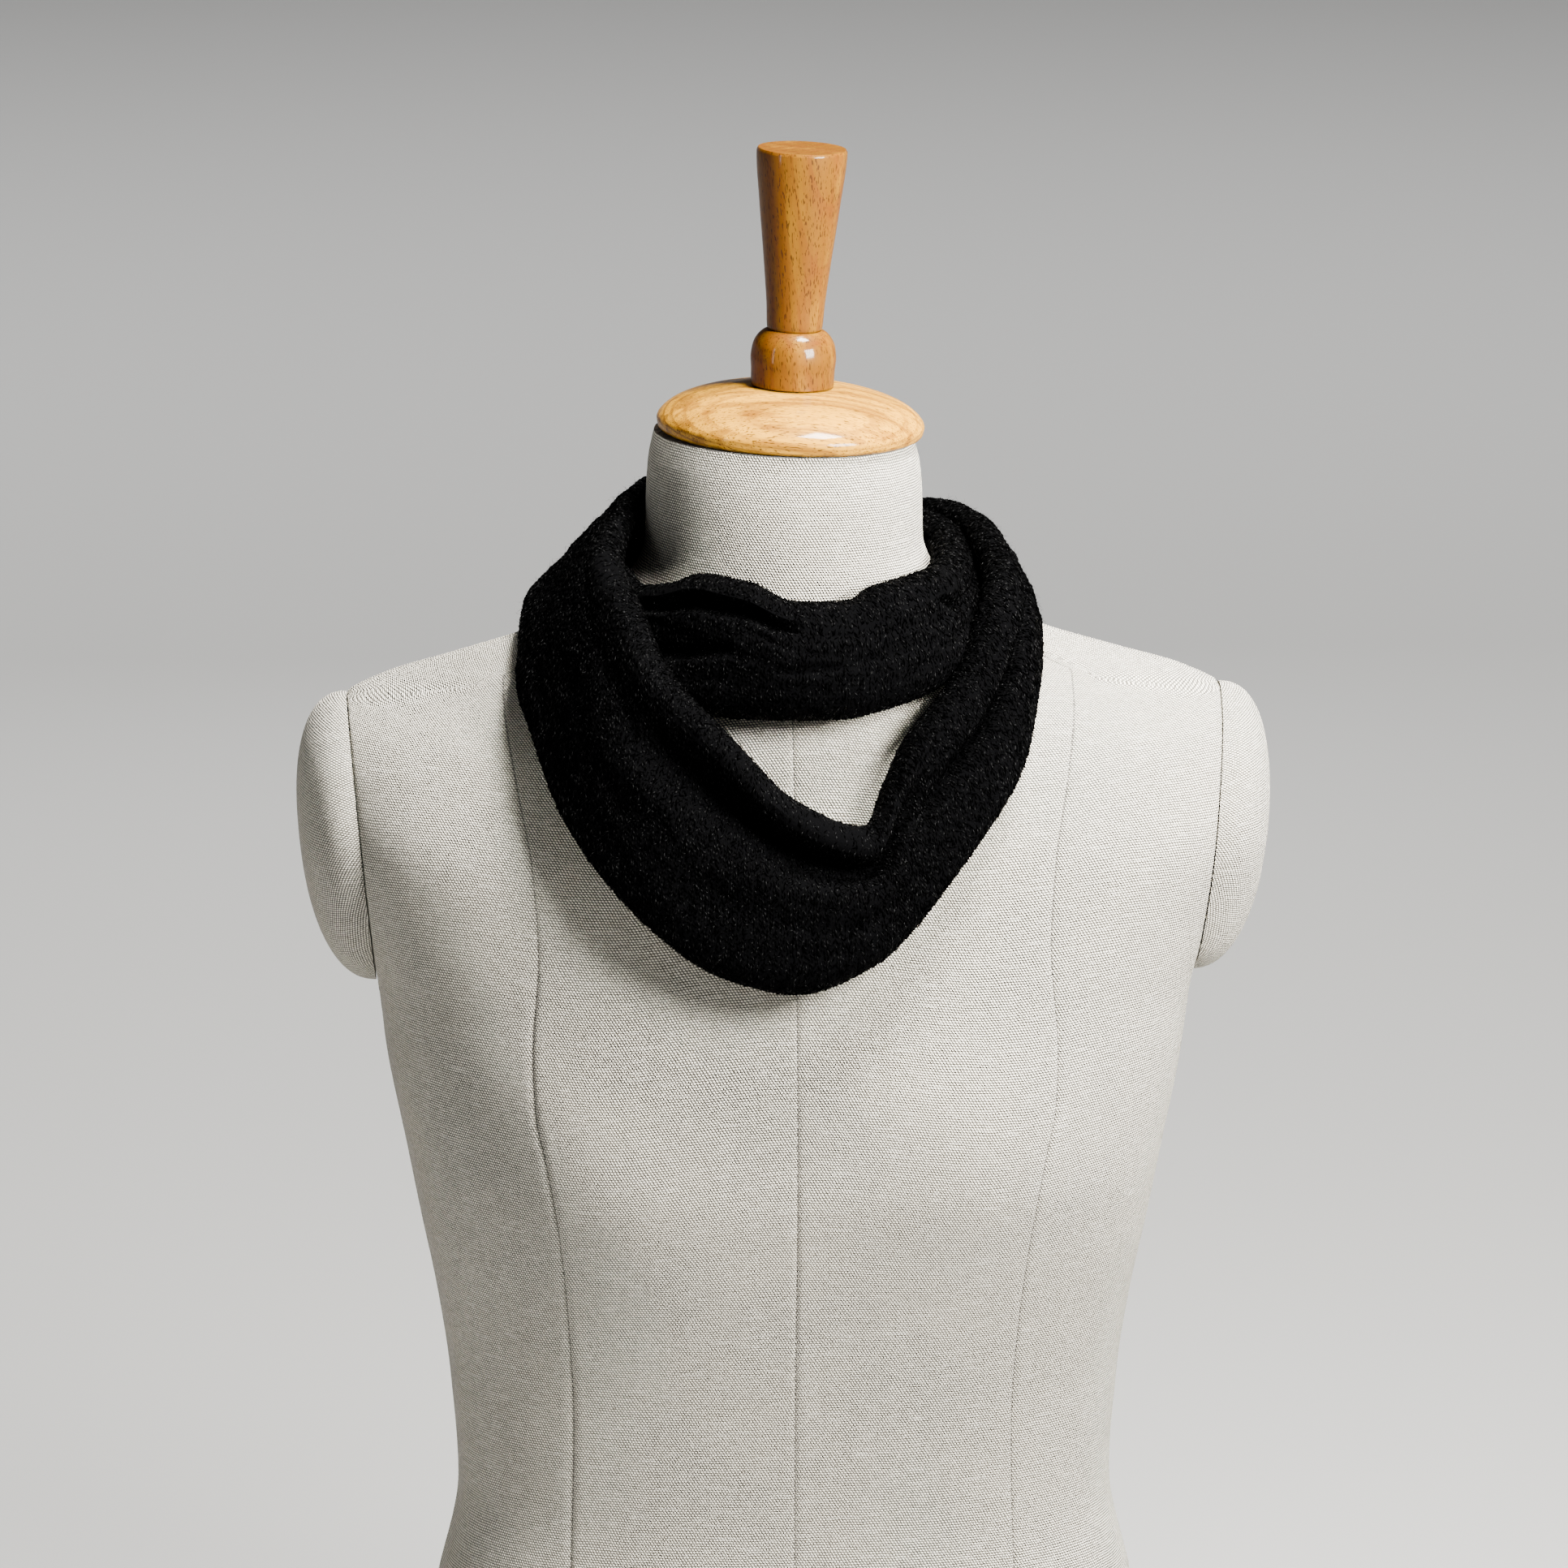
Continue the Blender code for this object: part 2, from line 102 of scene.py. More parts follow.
def grid_mesh(name, points, map_uv, close_rows=False, close_columns=False, cap_ends=False):
    """Join points[row, column] into quads; a closed direction also joins its last line to its first.

    map_uv has one more line in each closed direction, so that the map can run on."""
    rows, columns = points.shape[:2]
    row, column = np.meshgrid(np.arange(rows if close_rows else rows - 1),
                              np.arange(columns if close_columns else columns - 1), indexing="ij")
    corner_row = np.stack([row, row, row + 1, row + 1], axis=-1)
    corner_column = np.stack([column, column + 1, column + 1, column], axis=-1)
    index = (corner_row % rows) * columns + corner_column % columns
    faces = index.reshape(-1, 4).tolist()
    loose_uv = map_uv[corner_row, corner_column].reshape(-1, 2)
    if cap_ends:
        first = np.arange(columns)[::-1]
        last = (rows - 1) * columns + np.arange(columns)
        faces += [first.tolist(), last.tolist()]
        loose_uv = np.concatenate([loose_uv, map_uv[0, first], map_uv[-1, :columns]])
    mesh = bpy.data.meshes.new(name)
    mesh.from_pydata(points.reshape(-1, 3).tolist(), [], faces)
    layer = mesh.uv_layers.new(name="surface")
    layer.data.foreach_set("uv", loose_uv.astype(np.float32).ravel())
    mesh.shade_smooth()
    mesh.set_sharp_from_angle(angle=SHARP)
    mesh.update()
    return mesh


def faces_out(mesh):
    """True if the mesh's enclosed volume is positive: sum of corner . (next x next) over its fan."""
    mesh.calc_loop_triangles()
    corners = np.empty(len(mesh.vertices) * 3)
    mesh.vertices.foreach_get("co", corners)
    corners = corners.reshape(-1, 3)
    triangles = np.empty(len(mesh.loop_triangles) * 3, dtype=np.int32)
    mesh.loop_triangles.foreach_get("vertices", triangles)
    a, b, c = (corners[triangles.reshape(-1, 3)[:, k]] for k in range(3))
    return float(np.einsum("ij,ij->i", a, np.cross(b, c)).sum()) > 0.0


def add_piece(name, mesh, finish, slot, *nodes):
    """Put the mesh in the scene, on the one body, to stand for CAD nodes."""
    if not faces_out(mesh):
        mesh.flip_normals()
    piece = bpy.data.objects.new(name, mesh)
    bpy.context.scene.collection.objects.link(piece)
    mesh.materials.append(finish)
    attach(piece, "root")
    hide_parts(*nodes)
    print(name, len(mesh.polygons), "faces")
    return piece


# %% [markdown]
# ## Shader maths as Python
#
# A material is a graph of nodes. Long graphs are hard to read, but most of them are arithmetic on
# one number at each point: a distance, a mask, a height. A small class wraps a node's output, and
# Python's own operators add the Math nodes. Everything else comes from one method.

# %% Values and finishes
def maths(operation, reflected=False):
    """A method that adds one Math node; reflected, it takes its operands in the other order."""
    def method(self, *others):
        operands = (*others, self) if reflected else (self, *others)
        settings = {"operation": operation}
        return self.finish.node("ShaderNodeMath", settings, dict(enumerate(operands)))
    return method


class Value:
    """One node output. The operators +, -, *, / and ** on it add Math nodes."""

    def __init__(self, finish, socket):
        self.finish = finish
        self.socket = socket

    __add__ = __radd__ = maths("ADD")
    __mul__ = __rmul__ = maths("MULTIPLY")
    __sub__, __rsub__ = maths("SUBTRACT"), maths("SUBTRACT", reflected=True)
    __truediv__, __rtruediv__ = maths("DIVIDE"), maths("DIVIDE", reflected=True)
    __pow__ = maths("POWER")
    part = maths("FRACT")  # what is left after the whole number
    whole = maths("FLOOR")
    size = maths("ABSOLUTE")
    sine = maths("SINE")
    most = maths("MAXIMUM")

    def step(self, low, high):
        """A soft step from 0 at low to 1 at high."""
        inputs = {0: self, 1: low, 2: high, 3: 0.0, 4: 1.0}
        settings = {"interpolation_type": "SMOOTHSTEP"}
        return self.finish.node("ShaderNodeMapRange", settings, inputs)


class Finish:
    """A material, or a world, under construction round its shader."""

    def __init__(self, name, kept_in=bpy.data.materials, shader="Principled BSDF"):
        self.material = kept_in.new(name)
        self.material.use_nodes = True
        self.tree = self.material.node_tree
        self.shader = self.tree.nodes[shader]

    def node(self, kind, settings=None, inputs=None, output=0):
        """Add one node: its settings first, then the values or links of its sockets."""
        made = self.tree.nodes.new(kind)
        for name, setting in (settings or {}).items():
            setattr(made, name, setting)
        self.fill(made, inputs or {})
        return Value(self, made.outputs[output])

    def fill(self, made, inputs):
        """Give a node's sockets their links or values."""
        for name, given in inputs.items():
            if isinstance(given, Value):
                self.tree.links.new(given.socket, made.inputs[name])
            else:
                made.inputs[name].default_value = given

    def set(self, **sockets):
        """The same for the shader's own sockets; an underscore stands for a space."""
        self.fill(self.shader, {name.replace("_", " "): sockets[name] for name in sockets})

    def surface_map(self):
        """The pattern map, in metres: both numbers together, and each as a value."""
        found = self.node("ShaderNodeUVMap", {"uv_map": "surface"})
        return (found, *self.split(found)[:2])

    def object_point(self, centre, turn):
        """The point in metres, seen from a centre and turned."""
        point = self.node("ShaderNodeTexCoord", {}, {}, 3)
        moved = self.node("ShaderNodeVectorMath", {"operation": "SUBTRACT"}, {0: point, 1: centre})
        return self.node("ShaderNodeMapping", {"vector_type": "POINT"}, {0: moved, 2: turn})

    def split(self, vector):
        """The three parts of a vector, as values."""
        made = self.node("ShaderNodeSeparateXYZ", {}, {0: vector}).socket.node
        return [Value(self, made.outputs[k]) for k in range(3)]

    def vector(self, x, y, z=0.0):
        return self.node("ShaderNodeCombineXYZ", {}, {0: x, 1: y, 2: z})

    def noise(self, vector, scale, detail):
        inputs = {"Vector": vector, "Scale": scale, "Detail": detail, "Roughness": 0.5}
        return self.node("ShaderNodeTexNoise", {}, inputs)

    def random(self, vector):
        """One random number for each whole-number vector."""
        return self.node("ShaderNodeTexWhiteNoise", {"noise_dimensions": "3D"}, {0: vector})

    def blend(self, share, first, second):
        """A colour between two."""
        settings = {"data_type": "RGBA", "blend_type": "MIX"}
        return self.node("ShaderNodeMix", settings, {0: share, 6: first, 7: second}, 2)

    def bump(self, height, depth, strength, under=None):
        """A normal from a height of 0 to 1 that stands for a depth in metres."""
        inputs = {"Height": height, "Distance": depth, "Strength": strength}
        if under is not None:
            inputs["Normal"] = under
        return self.node("ShaderNodeBump", {}, inputs)


def tone(red, green, blue):
    """A colour from its screen values of 0 to 255, made linear and opaque."""
    shares = np.array([red, green, blue]) / 255.0
    linear = np.where(shares <= 0.04045, shares / 12.92, ((shares + 0.055) / 1.055) ** 2.4)
    return (*linear.tolist(), 1.0)


# %% [markdown]
# ## Smooth curves through a few sizes
#
# A garment or a form is described by its size at a few places: a short table with named columns.
# Straight lines between the rows leave corners and an ordinary spline overshoots, so the curve
# used here is the monotone cubic, which does neither.

# %% Monotone cubic
def column(rows, names, name):
    """One named column of a table, as an array."""
    return np.array([row[names.index(name)] for row in rows], dtype=float)


def table_size(at, rows, names, name):
    """A named size at a place, where the table's first column holds the places of its rows."""
    return smooth(at, column(rows, names, names[0]), column(rows, names, name))


def smooth(at, knots, values):
    """Through each (knot, value), with a slope that is the harmonic mean of its two neighbours'."""
    at = np.clip(at, knots[0], knots[-1])
    step = np.diff(knots)
    slope = np.diff(values) / step
    inner = np.zeros_like(values)
    same = slope[1:] * slope[:-1] > 0.0
    before = step[:-1] + 2.0 * step[1:]
    after = 2.0 * step[:-1] + step[1:]
    safe = np.where(same, slope[:-1], 1.0), np.where(same, slope[1:], 1.0)
    inner[1:-1] = np.where(same, (before + after) / (after / safe[0] + before / safe[1]), 0.0)
    inner[0] = slope[0]
    inner[-1] = slope[-1]
    cell = np.clip(np.searchsorted(knots, at, side="right") - 1, 0, len(knots) - 2)
    t = (at - knots[cell]) / step[cell]
    return (values[cell] * (1.0 + 2.0 * t) * (1.0 - t) ** 2
            + inner[cell] * step[cell] * t * (1.0 - t) ** 2
            + values[cell + 1] * t * t * (3.0 - 2.0 * t)
            + inner[cell + 1] * step[cell] * t * t * (t - 1.0))


# %% [markdown]
# ## The torso and its seams
#
# A dress form is a hard shell, padded, and covered in tightly sewn canvas panels. Its outline is a
# stack of rounded sections. Its detail is in the seams: one down the middle of the front, one on
# each side over the bust, and others behind. A groove that is only painted on looks flat from the
# side, and a grid that is fine everywhere is too heavy. So the grid's own columns run along the
# seams and crowd close to them, and each seam is pressed into real points.

# %% Torso sizes
TORSO_COLUMNS = ("z", "half_width", "front", "back", "power")
TORSO_SECTIONS = (
    (0.000, 0.164, 0.097, 0.099, 2.3),
    (0.003, 0.169, 0.102, 0.104, 2.3),
    (0.012, 0.172, 0.105, 0.107, 2.3),
    (0.060, 0.169, 0.103, 0.107, 2.3),
    (0.110, 0.160, 0.097, 0.101, 2.3),
    (0.160, 0.148, 0.091, 0.090, 2.3),
    (0.205, 0.139, 0.087, 0.080, 2.2),
    (0.251, 0.142, 0.090, 0.081, 2.2),
    (0.287, 0.147, 0.096, 0.085, 2.3),
    (0.323, 0.154, 0.104, 0.090, 2.4),
    (0.355, 0.160, 0.109, 0.094, 2.4),
    (0.391, 0.167, 0.109, 0.098, 2.4),
    (0.424, 0.1714, 0.105, 0.099, 2.5),
    (0.440, 0.1764, 0.103, 0.099, 2.5),
    (0.456, 0.182, 0.100, 0.099, 2.5),
    (0.488, 0.193, 0.093, 0.096, 2.5),
    (0.518, 0.197, 0.082, 0.089, 2.3),
    (0.533, 0.194, 0.076, 0.083, 2.1),
    (0.546, 0.184, 0.069, 0.077, 1.8),
    (0.555, 0.167, 0.065, 0.073, 1.5),
    (0.563, 0.140, 0.062, 0.070, 1.4),
    (0.572, 0.110, 0.060, 0.066, 1.4),
    (0.585, 0.080, 0.059, 0.062, 1.6),
    (0.600, 0.062, 0.058, 0.059, 1.9),
    (0.612, 0.0578, 0.0575, 0.0575, 2.0),
    (0.630, 0.0575, 0.0575, 0.0575, 2.0),
    (0.644, 0.0565, 0.0565, 0.0565, 2.0),
    (0.655, 0.0540, 0.0540, 0.0540, 2.0),
)
NECK_TOP = 0.655
LEAN_FROM = 0.630  # above this height the neck follows the lean of the wood
LEAN = math.radians(2.4)
BUST_X, BUST_Z = 0.082, 0.368
BUST_RISE = 0.014
BUST_SPREAD = (0.046, 0.050)  # across and up
ARMHOLE_Z = (0.424, 0.546)
ARMHOLE_X = (0.1714, 0.1826)  # at the lower and the upper end
HOLE_MARGIN = 0.02  # the cut is looked for this far past its ends


def torso_size(z, name):
    return table_size(z, TORSO_SECTIONS, TORSO_COLUMNS, name)


def full_radius(turn, z):
    """Distance from the axis: a superellipse in each section, plus a soft bell for each bust."""
    across = np.abs(np.sin(np.radians(turn)))
    along = np.cos(np.radians(turn))
    depth = np.where(along > 0.0, torso_size(z, "front"), torso_size(z, "back"))
    power = torso_size(z, "power")
    ratio = (across / torso_size(z, "half_width")) ** power + (np.abs(along) / depth) ** power
    radius = ratio ** (-1.0 / power)
    x = radius * np.sin(np.radians(turn))
    spread = ((np.abs(x) - BUST_X) / BUST_SPREAD[0]) ** 2 + ((z - BUST_Z) / BUST_SPREAD[1]) ** 2
    return radius + np.where(along > 0.0, BUST_RISE * np.exp(-spread) * along, 0.0)


def armhole_x(z):
    """Distance of the flat armhole from the middle plane: a straight line in height."""
    share = (z - ARMHOLE_Z[0]) / (ARMHOLE_Z[1] - ARMHOLE_Z[0])
    return ARMHOLE_X[0] + (ARMHOLE_X[1] - ARMHOLE_X[0]) * share


def form_radius(turn, z, rounding=0.0):
    """Full radius, cut flat at the armholes; a rounding makes the cut's edge soft."""
    full = full_radius(turn, z)
    flat = armhole_x(z) / np.maximum(np.abs(np.sin(np.radians(turn))), 1e-6)
    near = (z > ARMHOLE_Z[0] - HOLE_MARGIN) & (z < ARMHOLE_Z[1] + HOLE_MARGIN)
    share = np.clip(1.0 - np.abs(full - flat) / max(rounding, 1e-9), 0.0, 1.0)
    return np.where(near, np.minimum(full, flat) - 0.25 * share ** 2 * rounding, full)


def place(turn, radius, z):
    """x = radius sin turn, y = -radius cos turn: a turn of 0 is the front, 90 the right."""
    angle, radius, z = np.broadcast_arrays(np.radians(turn), radius, z)
    return np.stack([radius * np.sin(angle), -radius * np.cos(angle), z], axis=-1)


# %% Where the seams run
SEAM_COLUMNS = ("z", "front_x", "back_x")
PRINCESS_SEAMS = (
    (0.000, 0.104, 0.090),
    (0.100, 0.098, 0.084),
    (0.185, 0.0935, 0.076),
    (0.250, 0.0920, 0.072),
    (0.300, 0.0945, 0.076),
    (0.340, 0.0985, 0.082),
    (0.370, 0.1035, 0.088),
    (0.390, 0.1075, 0.092),
    (0.413, 0.1085, 0.096),
    (0.455, 0.1058, 0.101),
    (0.490, 0.1080, 0.105),
    (0.523, 0.1140, 0.110),
    (0.555, 0.1185, 0.116),
    (0.575, 0.1180, 0.118),
)
PRINCESS_TOP = 0.567  # they run over the shoulder here
BACK_TURN = 180.0
SIDE_TURN = 90.0
LEAST_APART = 2.5  # degrees between neighbouring lines of the grid
HOLE_SPREAD = 8.0  # more degrees, above and below the armhole
SPREAD_BELOW = 0.03  # heights over which the lines spread
SPREAD_ABOVE = 0.01
HALVINGS = 36


def halve(low, high, is_low):
    """The place between low and high where is_low stops being true, by halving the range."""
    for _ in range(HALVINGS):
        middle = 0.5 * (low + high)
        below = is_low(middle)
        low, high = np.where(below, middle, low), np.where(below, high, middle)
    return 0.5 * (low + high)


def turn_at_x(x, z, low, high):
    """The turn, from low to high, at which the surface crosses x."""
    return halve(low + 0.0 * z, high + 0.0 * z,
                 lambda turn: full_radius(turn, z) * np.sin(np.radians(turn)) < x)


def seam_lines(z):
    """Turns of the lines that the grid follows on the right half, front to back, for each height."""
    front_x = table_size(z, PRINCESS_SEAMS, SEAM_COLUMNS, "front_x")
    back_x = table_size(z, PRINCESS_SEAMS, SEAM_COLUMNS, "back_x")
    below = np.clip((ARMHOLE_Z[0] - z) / SPREAD_BELOW, 0.0, 1.0)
    above = np.clip((z - ARMHOLE_Z[1]) / SPREAD_ABOVE, 0.0, 1.0)
    apart = LEAST_APART + HOLE_SPREAD * (below + above)
    hole = armhole_x(z)
    hole_front = np.minimum(turn_at_x(hole, z, 0.0, SIDE_TURN), SIDE_TURN - apart)
    hole_back = np.maximum(turn_at_x(hole, z, BACK_TURN, SIDE_TURN), SIDE_TURN + apart)
    front = np.minimum(turn_at_x(front_x, z, 0.0, SIDE_TURN), hole_front - LEAST_APART)
    back = np.maximum(turn_at_x(back_x, z, BACK_TURN, SIDE_TURN), hole_back + LEAST_APART)
    middle = 0.0 * z
    return np.stack([middle, front, hole_front, middle + SIDE_TURN, hole_back, back,
                     middle + BACK_TURN])


def seam_strength(z):
    """How deep each line is sewn, 0 to 1: none on the neck, none where a line isn't a seam."""
    below_neck = np.clip((0.590 - z) / 0.01, 0.0, 1.0)
    princess = np.clip((PRINCESS_TOP - z) / 0.004, 0.0, 1.0)
    side = np.where(z < ARMHOLE_Z[0], 1.0, 0.0) + np.where(z > ARMHOLE_Z[1], below_neck, 0.0)
    none = 0.0 * z
    return np.stack([below_neck, princess, none, side, none, princess, none + 1.0])


# %% Torso grid
SEAM_STEPS = (0.00045, 0.0010, 0.0020, 0.0042)  # distances of the columns that follow a seam
PANEL_COLUMNS = (16, 9, 5, 5, 9, 16)  # columns in each panel of a half, front to back
MOST_OF_PANEL = 0.35  # they use no more of a panel than this
TORSO_ROWS = 190
GROOVE_DEPTH = 0.00055
GROOVE_WIDTH = 0.0008
PUFF_HEIGHT = 0.00035  # the canvas swells a little beside a seam
PUFF_PLACE = 0.0030
EDGE_ROUNDING = 0.0016
NECK_FROM = 0.588  # the neck is a piece of its own above this height


def torso_rows():
    """Heights of the rows, evenly spaced along the outline as seen from the front."""
    fine = np.linspace(0.0, NECK_TOP, 2600)
    width = torso_size(fine, "half_width")
    travel = np.concatenate([[0.0], np.cumsum(np.hypot(np.diff(fine), np.diff(width)))])
    even = np.interp(np.linspace(0.0, travel[-1], TORSO_ROWS), travel, fine)
    return np.unique(np.concatenate([even, [0.0006, 0.0015, 0.003, 0.006]]))


def half_turns(z):
    """Turns, seam distances and strengths of the right half's columns, from front to back."""
    lines, sewn = seam_lines(z), seam_strength(z)
    shares = np.array(SEAM_STEPS)[:, None] / SEAM_STEPS[-1]
    found = [(lines[:1], 0.0, sewn[:1])]
    for k, count in enumerate(PANEL_COLUMNS):
        radius = form_radius(lines[k:k + 2], z)
        gap = lines[k + 1] - lines[k]
        reach = np.minimum(np.degrees(SEAM_STEPS[-1] / radius), MOST_OF_PANEL * gap)
        after, before = reach[0] * shares, reach[1] * shares[::-1]
        first, last = lines[k] + after[-1], lines[k + 1] - before[0]
        evenly = (np.arange(count) + 1.0)[:, None] / (count + 1.0)
        found += [(lines[k] + after, np.radians(after) * radius[0], sewn[k]),
                  (first + (last - first) * evenly, 1.0, 0.0),
                  (lines[k + 1] - before, np.radians(before) * radius[1], sewn[k + 1]),
                  (lines[k + 1:k + 2], 0.0, sewn[k + 1])]
    return [np.concatenate([np.broadcast_to(row[part], row[0].shape) for row in found])
            for part in range(3)]


def torso_grid():
    """Rows of the whole form, from back middle round the left, front and right to back middle.

    The surface is the form's radius, less a narrow bell at each seam, plus a wide one beside it."""
    rows = torso_rows()[:, None]
    turns, apart, strength = (np.concatenate([sign * half[:0:-1], half]).T for sign, half
                              in zip((-1.0, 1.0, 1.0), half_turns(rows[:, 0])))
    radius = form_radius(turns, rows, EDGE_ROUNDING)
    groove = GROOVE_DEPTH * np.exp(-(apart / GROOVE_WIDTH) ** 2)
    puff = PUFF_HEIGHT * np.exp(-((apart - PUFF_PLACE) / (0.5 * PUFF_PLACE)) ** 2)
    radius = radius + strength * (puff - groove)
    points = place(turns, radius, rows)
    share = np.clip((rows - LEAN_FROM) / (NECK_TOP - LEAN_FROM), 0.0, 1.0)
    points[..., 2] -= points[..., 0] * math.tan(LEAN) * share
    return points, np.where(strength > 0.0, apart, 1.0)


def surface_lengths(points):
    """Pattern map of the torso in metres: length along each row, and up the uncut form.

    The lengths up follow the slope at a fixed turn, so that neighbouring columns agree even where
    one goes round the armhole. The neck's canvas was cut level with its top, so there they run
    down from the top."""
    along = np.linalg.norm(np.diff(points, axis=1), axis=-1)
    along = np.concatenate([np.zeros((points.shape[0], 1)), np.cumsum(along, axis=1)], axis=1)
    along = along - along[:, [points.shape[1] // 2]]
    turn = np.abs(np.degrees(np.arctan2(points[..., 0], -points[..., 1])))
    turn = 0.5 * (turn[1:] + turn[:-1])
    z = points[..., 2]
    change = full_radius(turn, z[1:]) - full_radius(turn, z[:-1])
    up = np.cumsum(np.hypot(z[1:] - z[:-1], change), axis=0)
    up = np.concatenate([0.0 * up[:1], up], axis=0)
    neck = z.mean(axis=1, keepdims=True) > NECK_FROM
    return np.stack([along, np.where(neck, up - up[-1], up)], axis=-1)


torso_points, seam_distance = torso_grid()
torso_map = surface_lengths(torso_points)
print("torso grid", torso_points.shape[:2], "girth at bust about",
      round(float(np.ptp(torso_map[100, :, 0])), 3), "m")

# %% [markdown]
# ## Canvas
#
# The cover is unbleached cotton canvas: a plain weave, cream with small dark flecks of husk. One
# sees rows of short pale floats with dark gaps between, each row shifted by half a float. An image
# of cloth would repeat and could not follow the panels, so the floats are worked out from the
# pattern map, and the same number makes both the relief and a painted shade: the colour darkens
# from each float's crown into the gaps, where shade falls.

# %% Canvas finish
FLOAT_LENGTH = 0.00132
FLOAT_ROW = 0.00108
FLOAT_SLANT = 0.35  # the twist of the yarn tips each float over
CANVAS_LIGHT = tone(250, 243, 225)
# painted shade for the gaps between the floats
CANVAS_GAP_SHADE = tone(48, 45, 36)
FLECK = tone(96, 84, 66)
STITCH_LENGTH = 0.0032
THREAD_DARK = tone(58, 52, 46)


def canvas_finish(name, has_seams):
    """Plain weave: each row of floats is shifted by half a float from the row below."""
    f = Finish(name)
    found, u, v = f.surface_map()
    wander = f.noise(found, 60.0, 1.0) - 0.5
    row = (v + wander * 0.0010) / FLOAT_ROW
    along = (u + wander * 0.0012) / FLOAT_LENGTH + row.whole() * 0.5 + row.part() * FLOAT_SLANT
    cell = f.vector(along.whole(), row.whole())
    across = (row.part() * math.pi).sine().most(0.0) ** 0.9
    length = (along.part() * math.pi).sine().most(0.0) ** 1.0
    thread = f.random(cell)
    weave = across * length * (0.70 + thread * 0.30)
    slub = f.noise(f.vector(u * 0.12, v), 700.0, 2.0).step(0.52, 0.78)
    height = weave + slub * 0.25
    # painted shade: the colour darkens from each float's crown into the gaps between floats
    colour = f.blend(weave.step(0.05, 0.78), CANVAS_GAP_SHADE, CANVAS_LIGHT)
    cloudy = f.noise(found, 14.0, 3.0).step(0.30, 0.72)
    colour = f.blend(cloudy * 0.10, colour, tone(205, 192, 168))
    colour = f.blend(slub * 0.22, colour, tone(238, 234, 224))
    husk = f.noise(f.vector(u, v * 1.6), 520.0, 1.0).step(0.735, 0.770)
    colour = f.blend(husk * 0.75, colour, FLECK)
    normal = f.bump(height, 0.0010, 1.0)
    if has_seams:
        seam = f.node("ShaderNodeAttribute", {"attribute_name": "seam"}, {}, 2)
        line = 1.0 - seam.step(0.00010, 0.00045)
        stitch = ((v / STITCH_LENGTH).part() * 2.0 - 1.0).size().step(0.55, 0.80)
        colour = f.blend(line * (0.50 + stitch * 0.34), colour, THREAD_DARK)
        normal = f.bump(1.0 - line * (1.0 - stitch * 0.6), 0.0003, 0.6, normal)
    f.set(Base_Color=colour, Roughness=0.86, Normal=normal, Specular_IOR_Level=0.3,
          Sheen_Weight=0.10, Sheen_Roughness=0.6)
    return f.material


canvas_torso = canvas_finish("canvas_with_seams", True)
canvas_plain = canvas_finish("canvas_plain", False)
print("canvas thread pitch", FLOAT_ROW * 1000, "mm")

# %% Build the torso
SEAM_FAR = 0.02

torso_mesh = grid_mesh("form_torso", torso_points[:, :-1], torso_map, close_columns=True,
                       cap_ends=True)
near_seam = np.minimum(seam_distance[:, :-1], SEAM_FAR).astype(np.float32)
torso_mesh.attributes.new("seam", "FLOAT", "POINT").data.foreach_set("value", near_seam.ravel())
add_piece("form_torso", torso_mesh, canvas_torso, "form_canvas", "torso")

# %% [markdown]
# ## Shoulder caps
#
# Where the arms would begin, the form has padded canvas caps. Each is a dome on the slanted
# armhole, steep at the rim and flat on top: a grid of rings, each the rim shrunk to the middle.

# %% Shoulder caps
CAP_CENTRE = (0.002, 0.485)  # y and z of the middle of the armhole
CAP_RISE = 0.026
CAP_POWER = 2.3
CAP_RINGS = 30
CAP_POINTS = 120
CAP_GAP = 0.0003
CAP_LAST_RING = 89.0
CAP_FAR = 0.12


def armhole_outline(angle):
    """Distance from the armhole's middle to its edge."""
    def inside(reach):
        y = CAP_CENTRE[0] + reach * np.cos(angle)
        z = CAP_CENTRE[1] + reach * np.sin(angle)
        x = armhole_x(z)
        return np.hypot(x, y) < full_radius(np.degrees(np.arctan2(x, -y)), z)

    return halve(0.0 * angle, 0.0 * angle + CAP_FAR, inside)


def shoulder_cap(name, side, node):
    """Superellipse dome: rise^p + size^p = 1, where size is the share of the rim's outline."""
    angle = np.arange(CAP_POINTS) * 2.0 * math.pi / CAP_POINTS
    reach = armhole_outline(angle)
    climb = np.radians(np.linspace(0.0, CAP_LAST_RING, CAP_RINGS))[:, None]
    rise = np.sin(climb) ** (2.0 / CAP_POWER)
    size = np.cos(climb) ** (2.0 / CAP_POWER)
    y = CAP_CENTRE[0] + size * reach * np.cos(angle)
    z = CAP_CENTRE[1] + size * reach * np.sin(angle)
    x = side * (armhole_x(z) + CAP_GAP + CAP_RISE * rise)
    points = np.stack([x, y, z], axis=-1)
    steps = np.linalg.norm(np.diff(points, axis=0), axis=-1)
    last = size[-1] * reach[None, :]
    down = np.concatenate([np.cumsum(steps[::-1], axis=0)[::-1], 0.0 * last], axis=0) + last
    map_uv = np.stack([down * np.cos(angle), down * np.sin(angle)], axis=-1)
    map_uv = np.concatenate([map_uv, map_uv[:, :1]], axis=1)
    mesh = grid_mesh(name, points, map_uv, close_columns=True, cap_ends=True)
    return add_piece(name, mesh, canvas_plain, "form_canvas", node)


shoulder_cap("cap_right", 1.0, "shoulder_cap_right")
shoulder_cap("cap_left", -1.0, "shoulder_cap_left")

# %% [markdown]
# ## Turned wood
#
# The neck cap, the collar above it and the flared handle were turned on a lathe and varnished, so
# each piece is its profile carried once round the leaning axis of the neck. The solids have few
# corners; here the same profile is sampled finely.

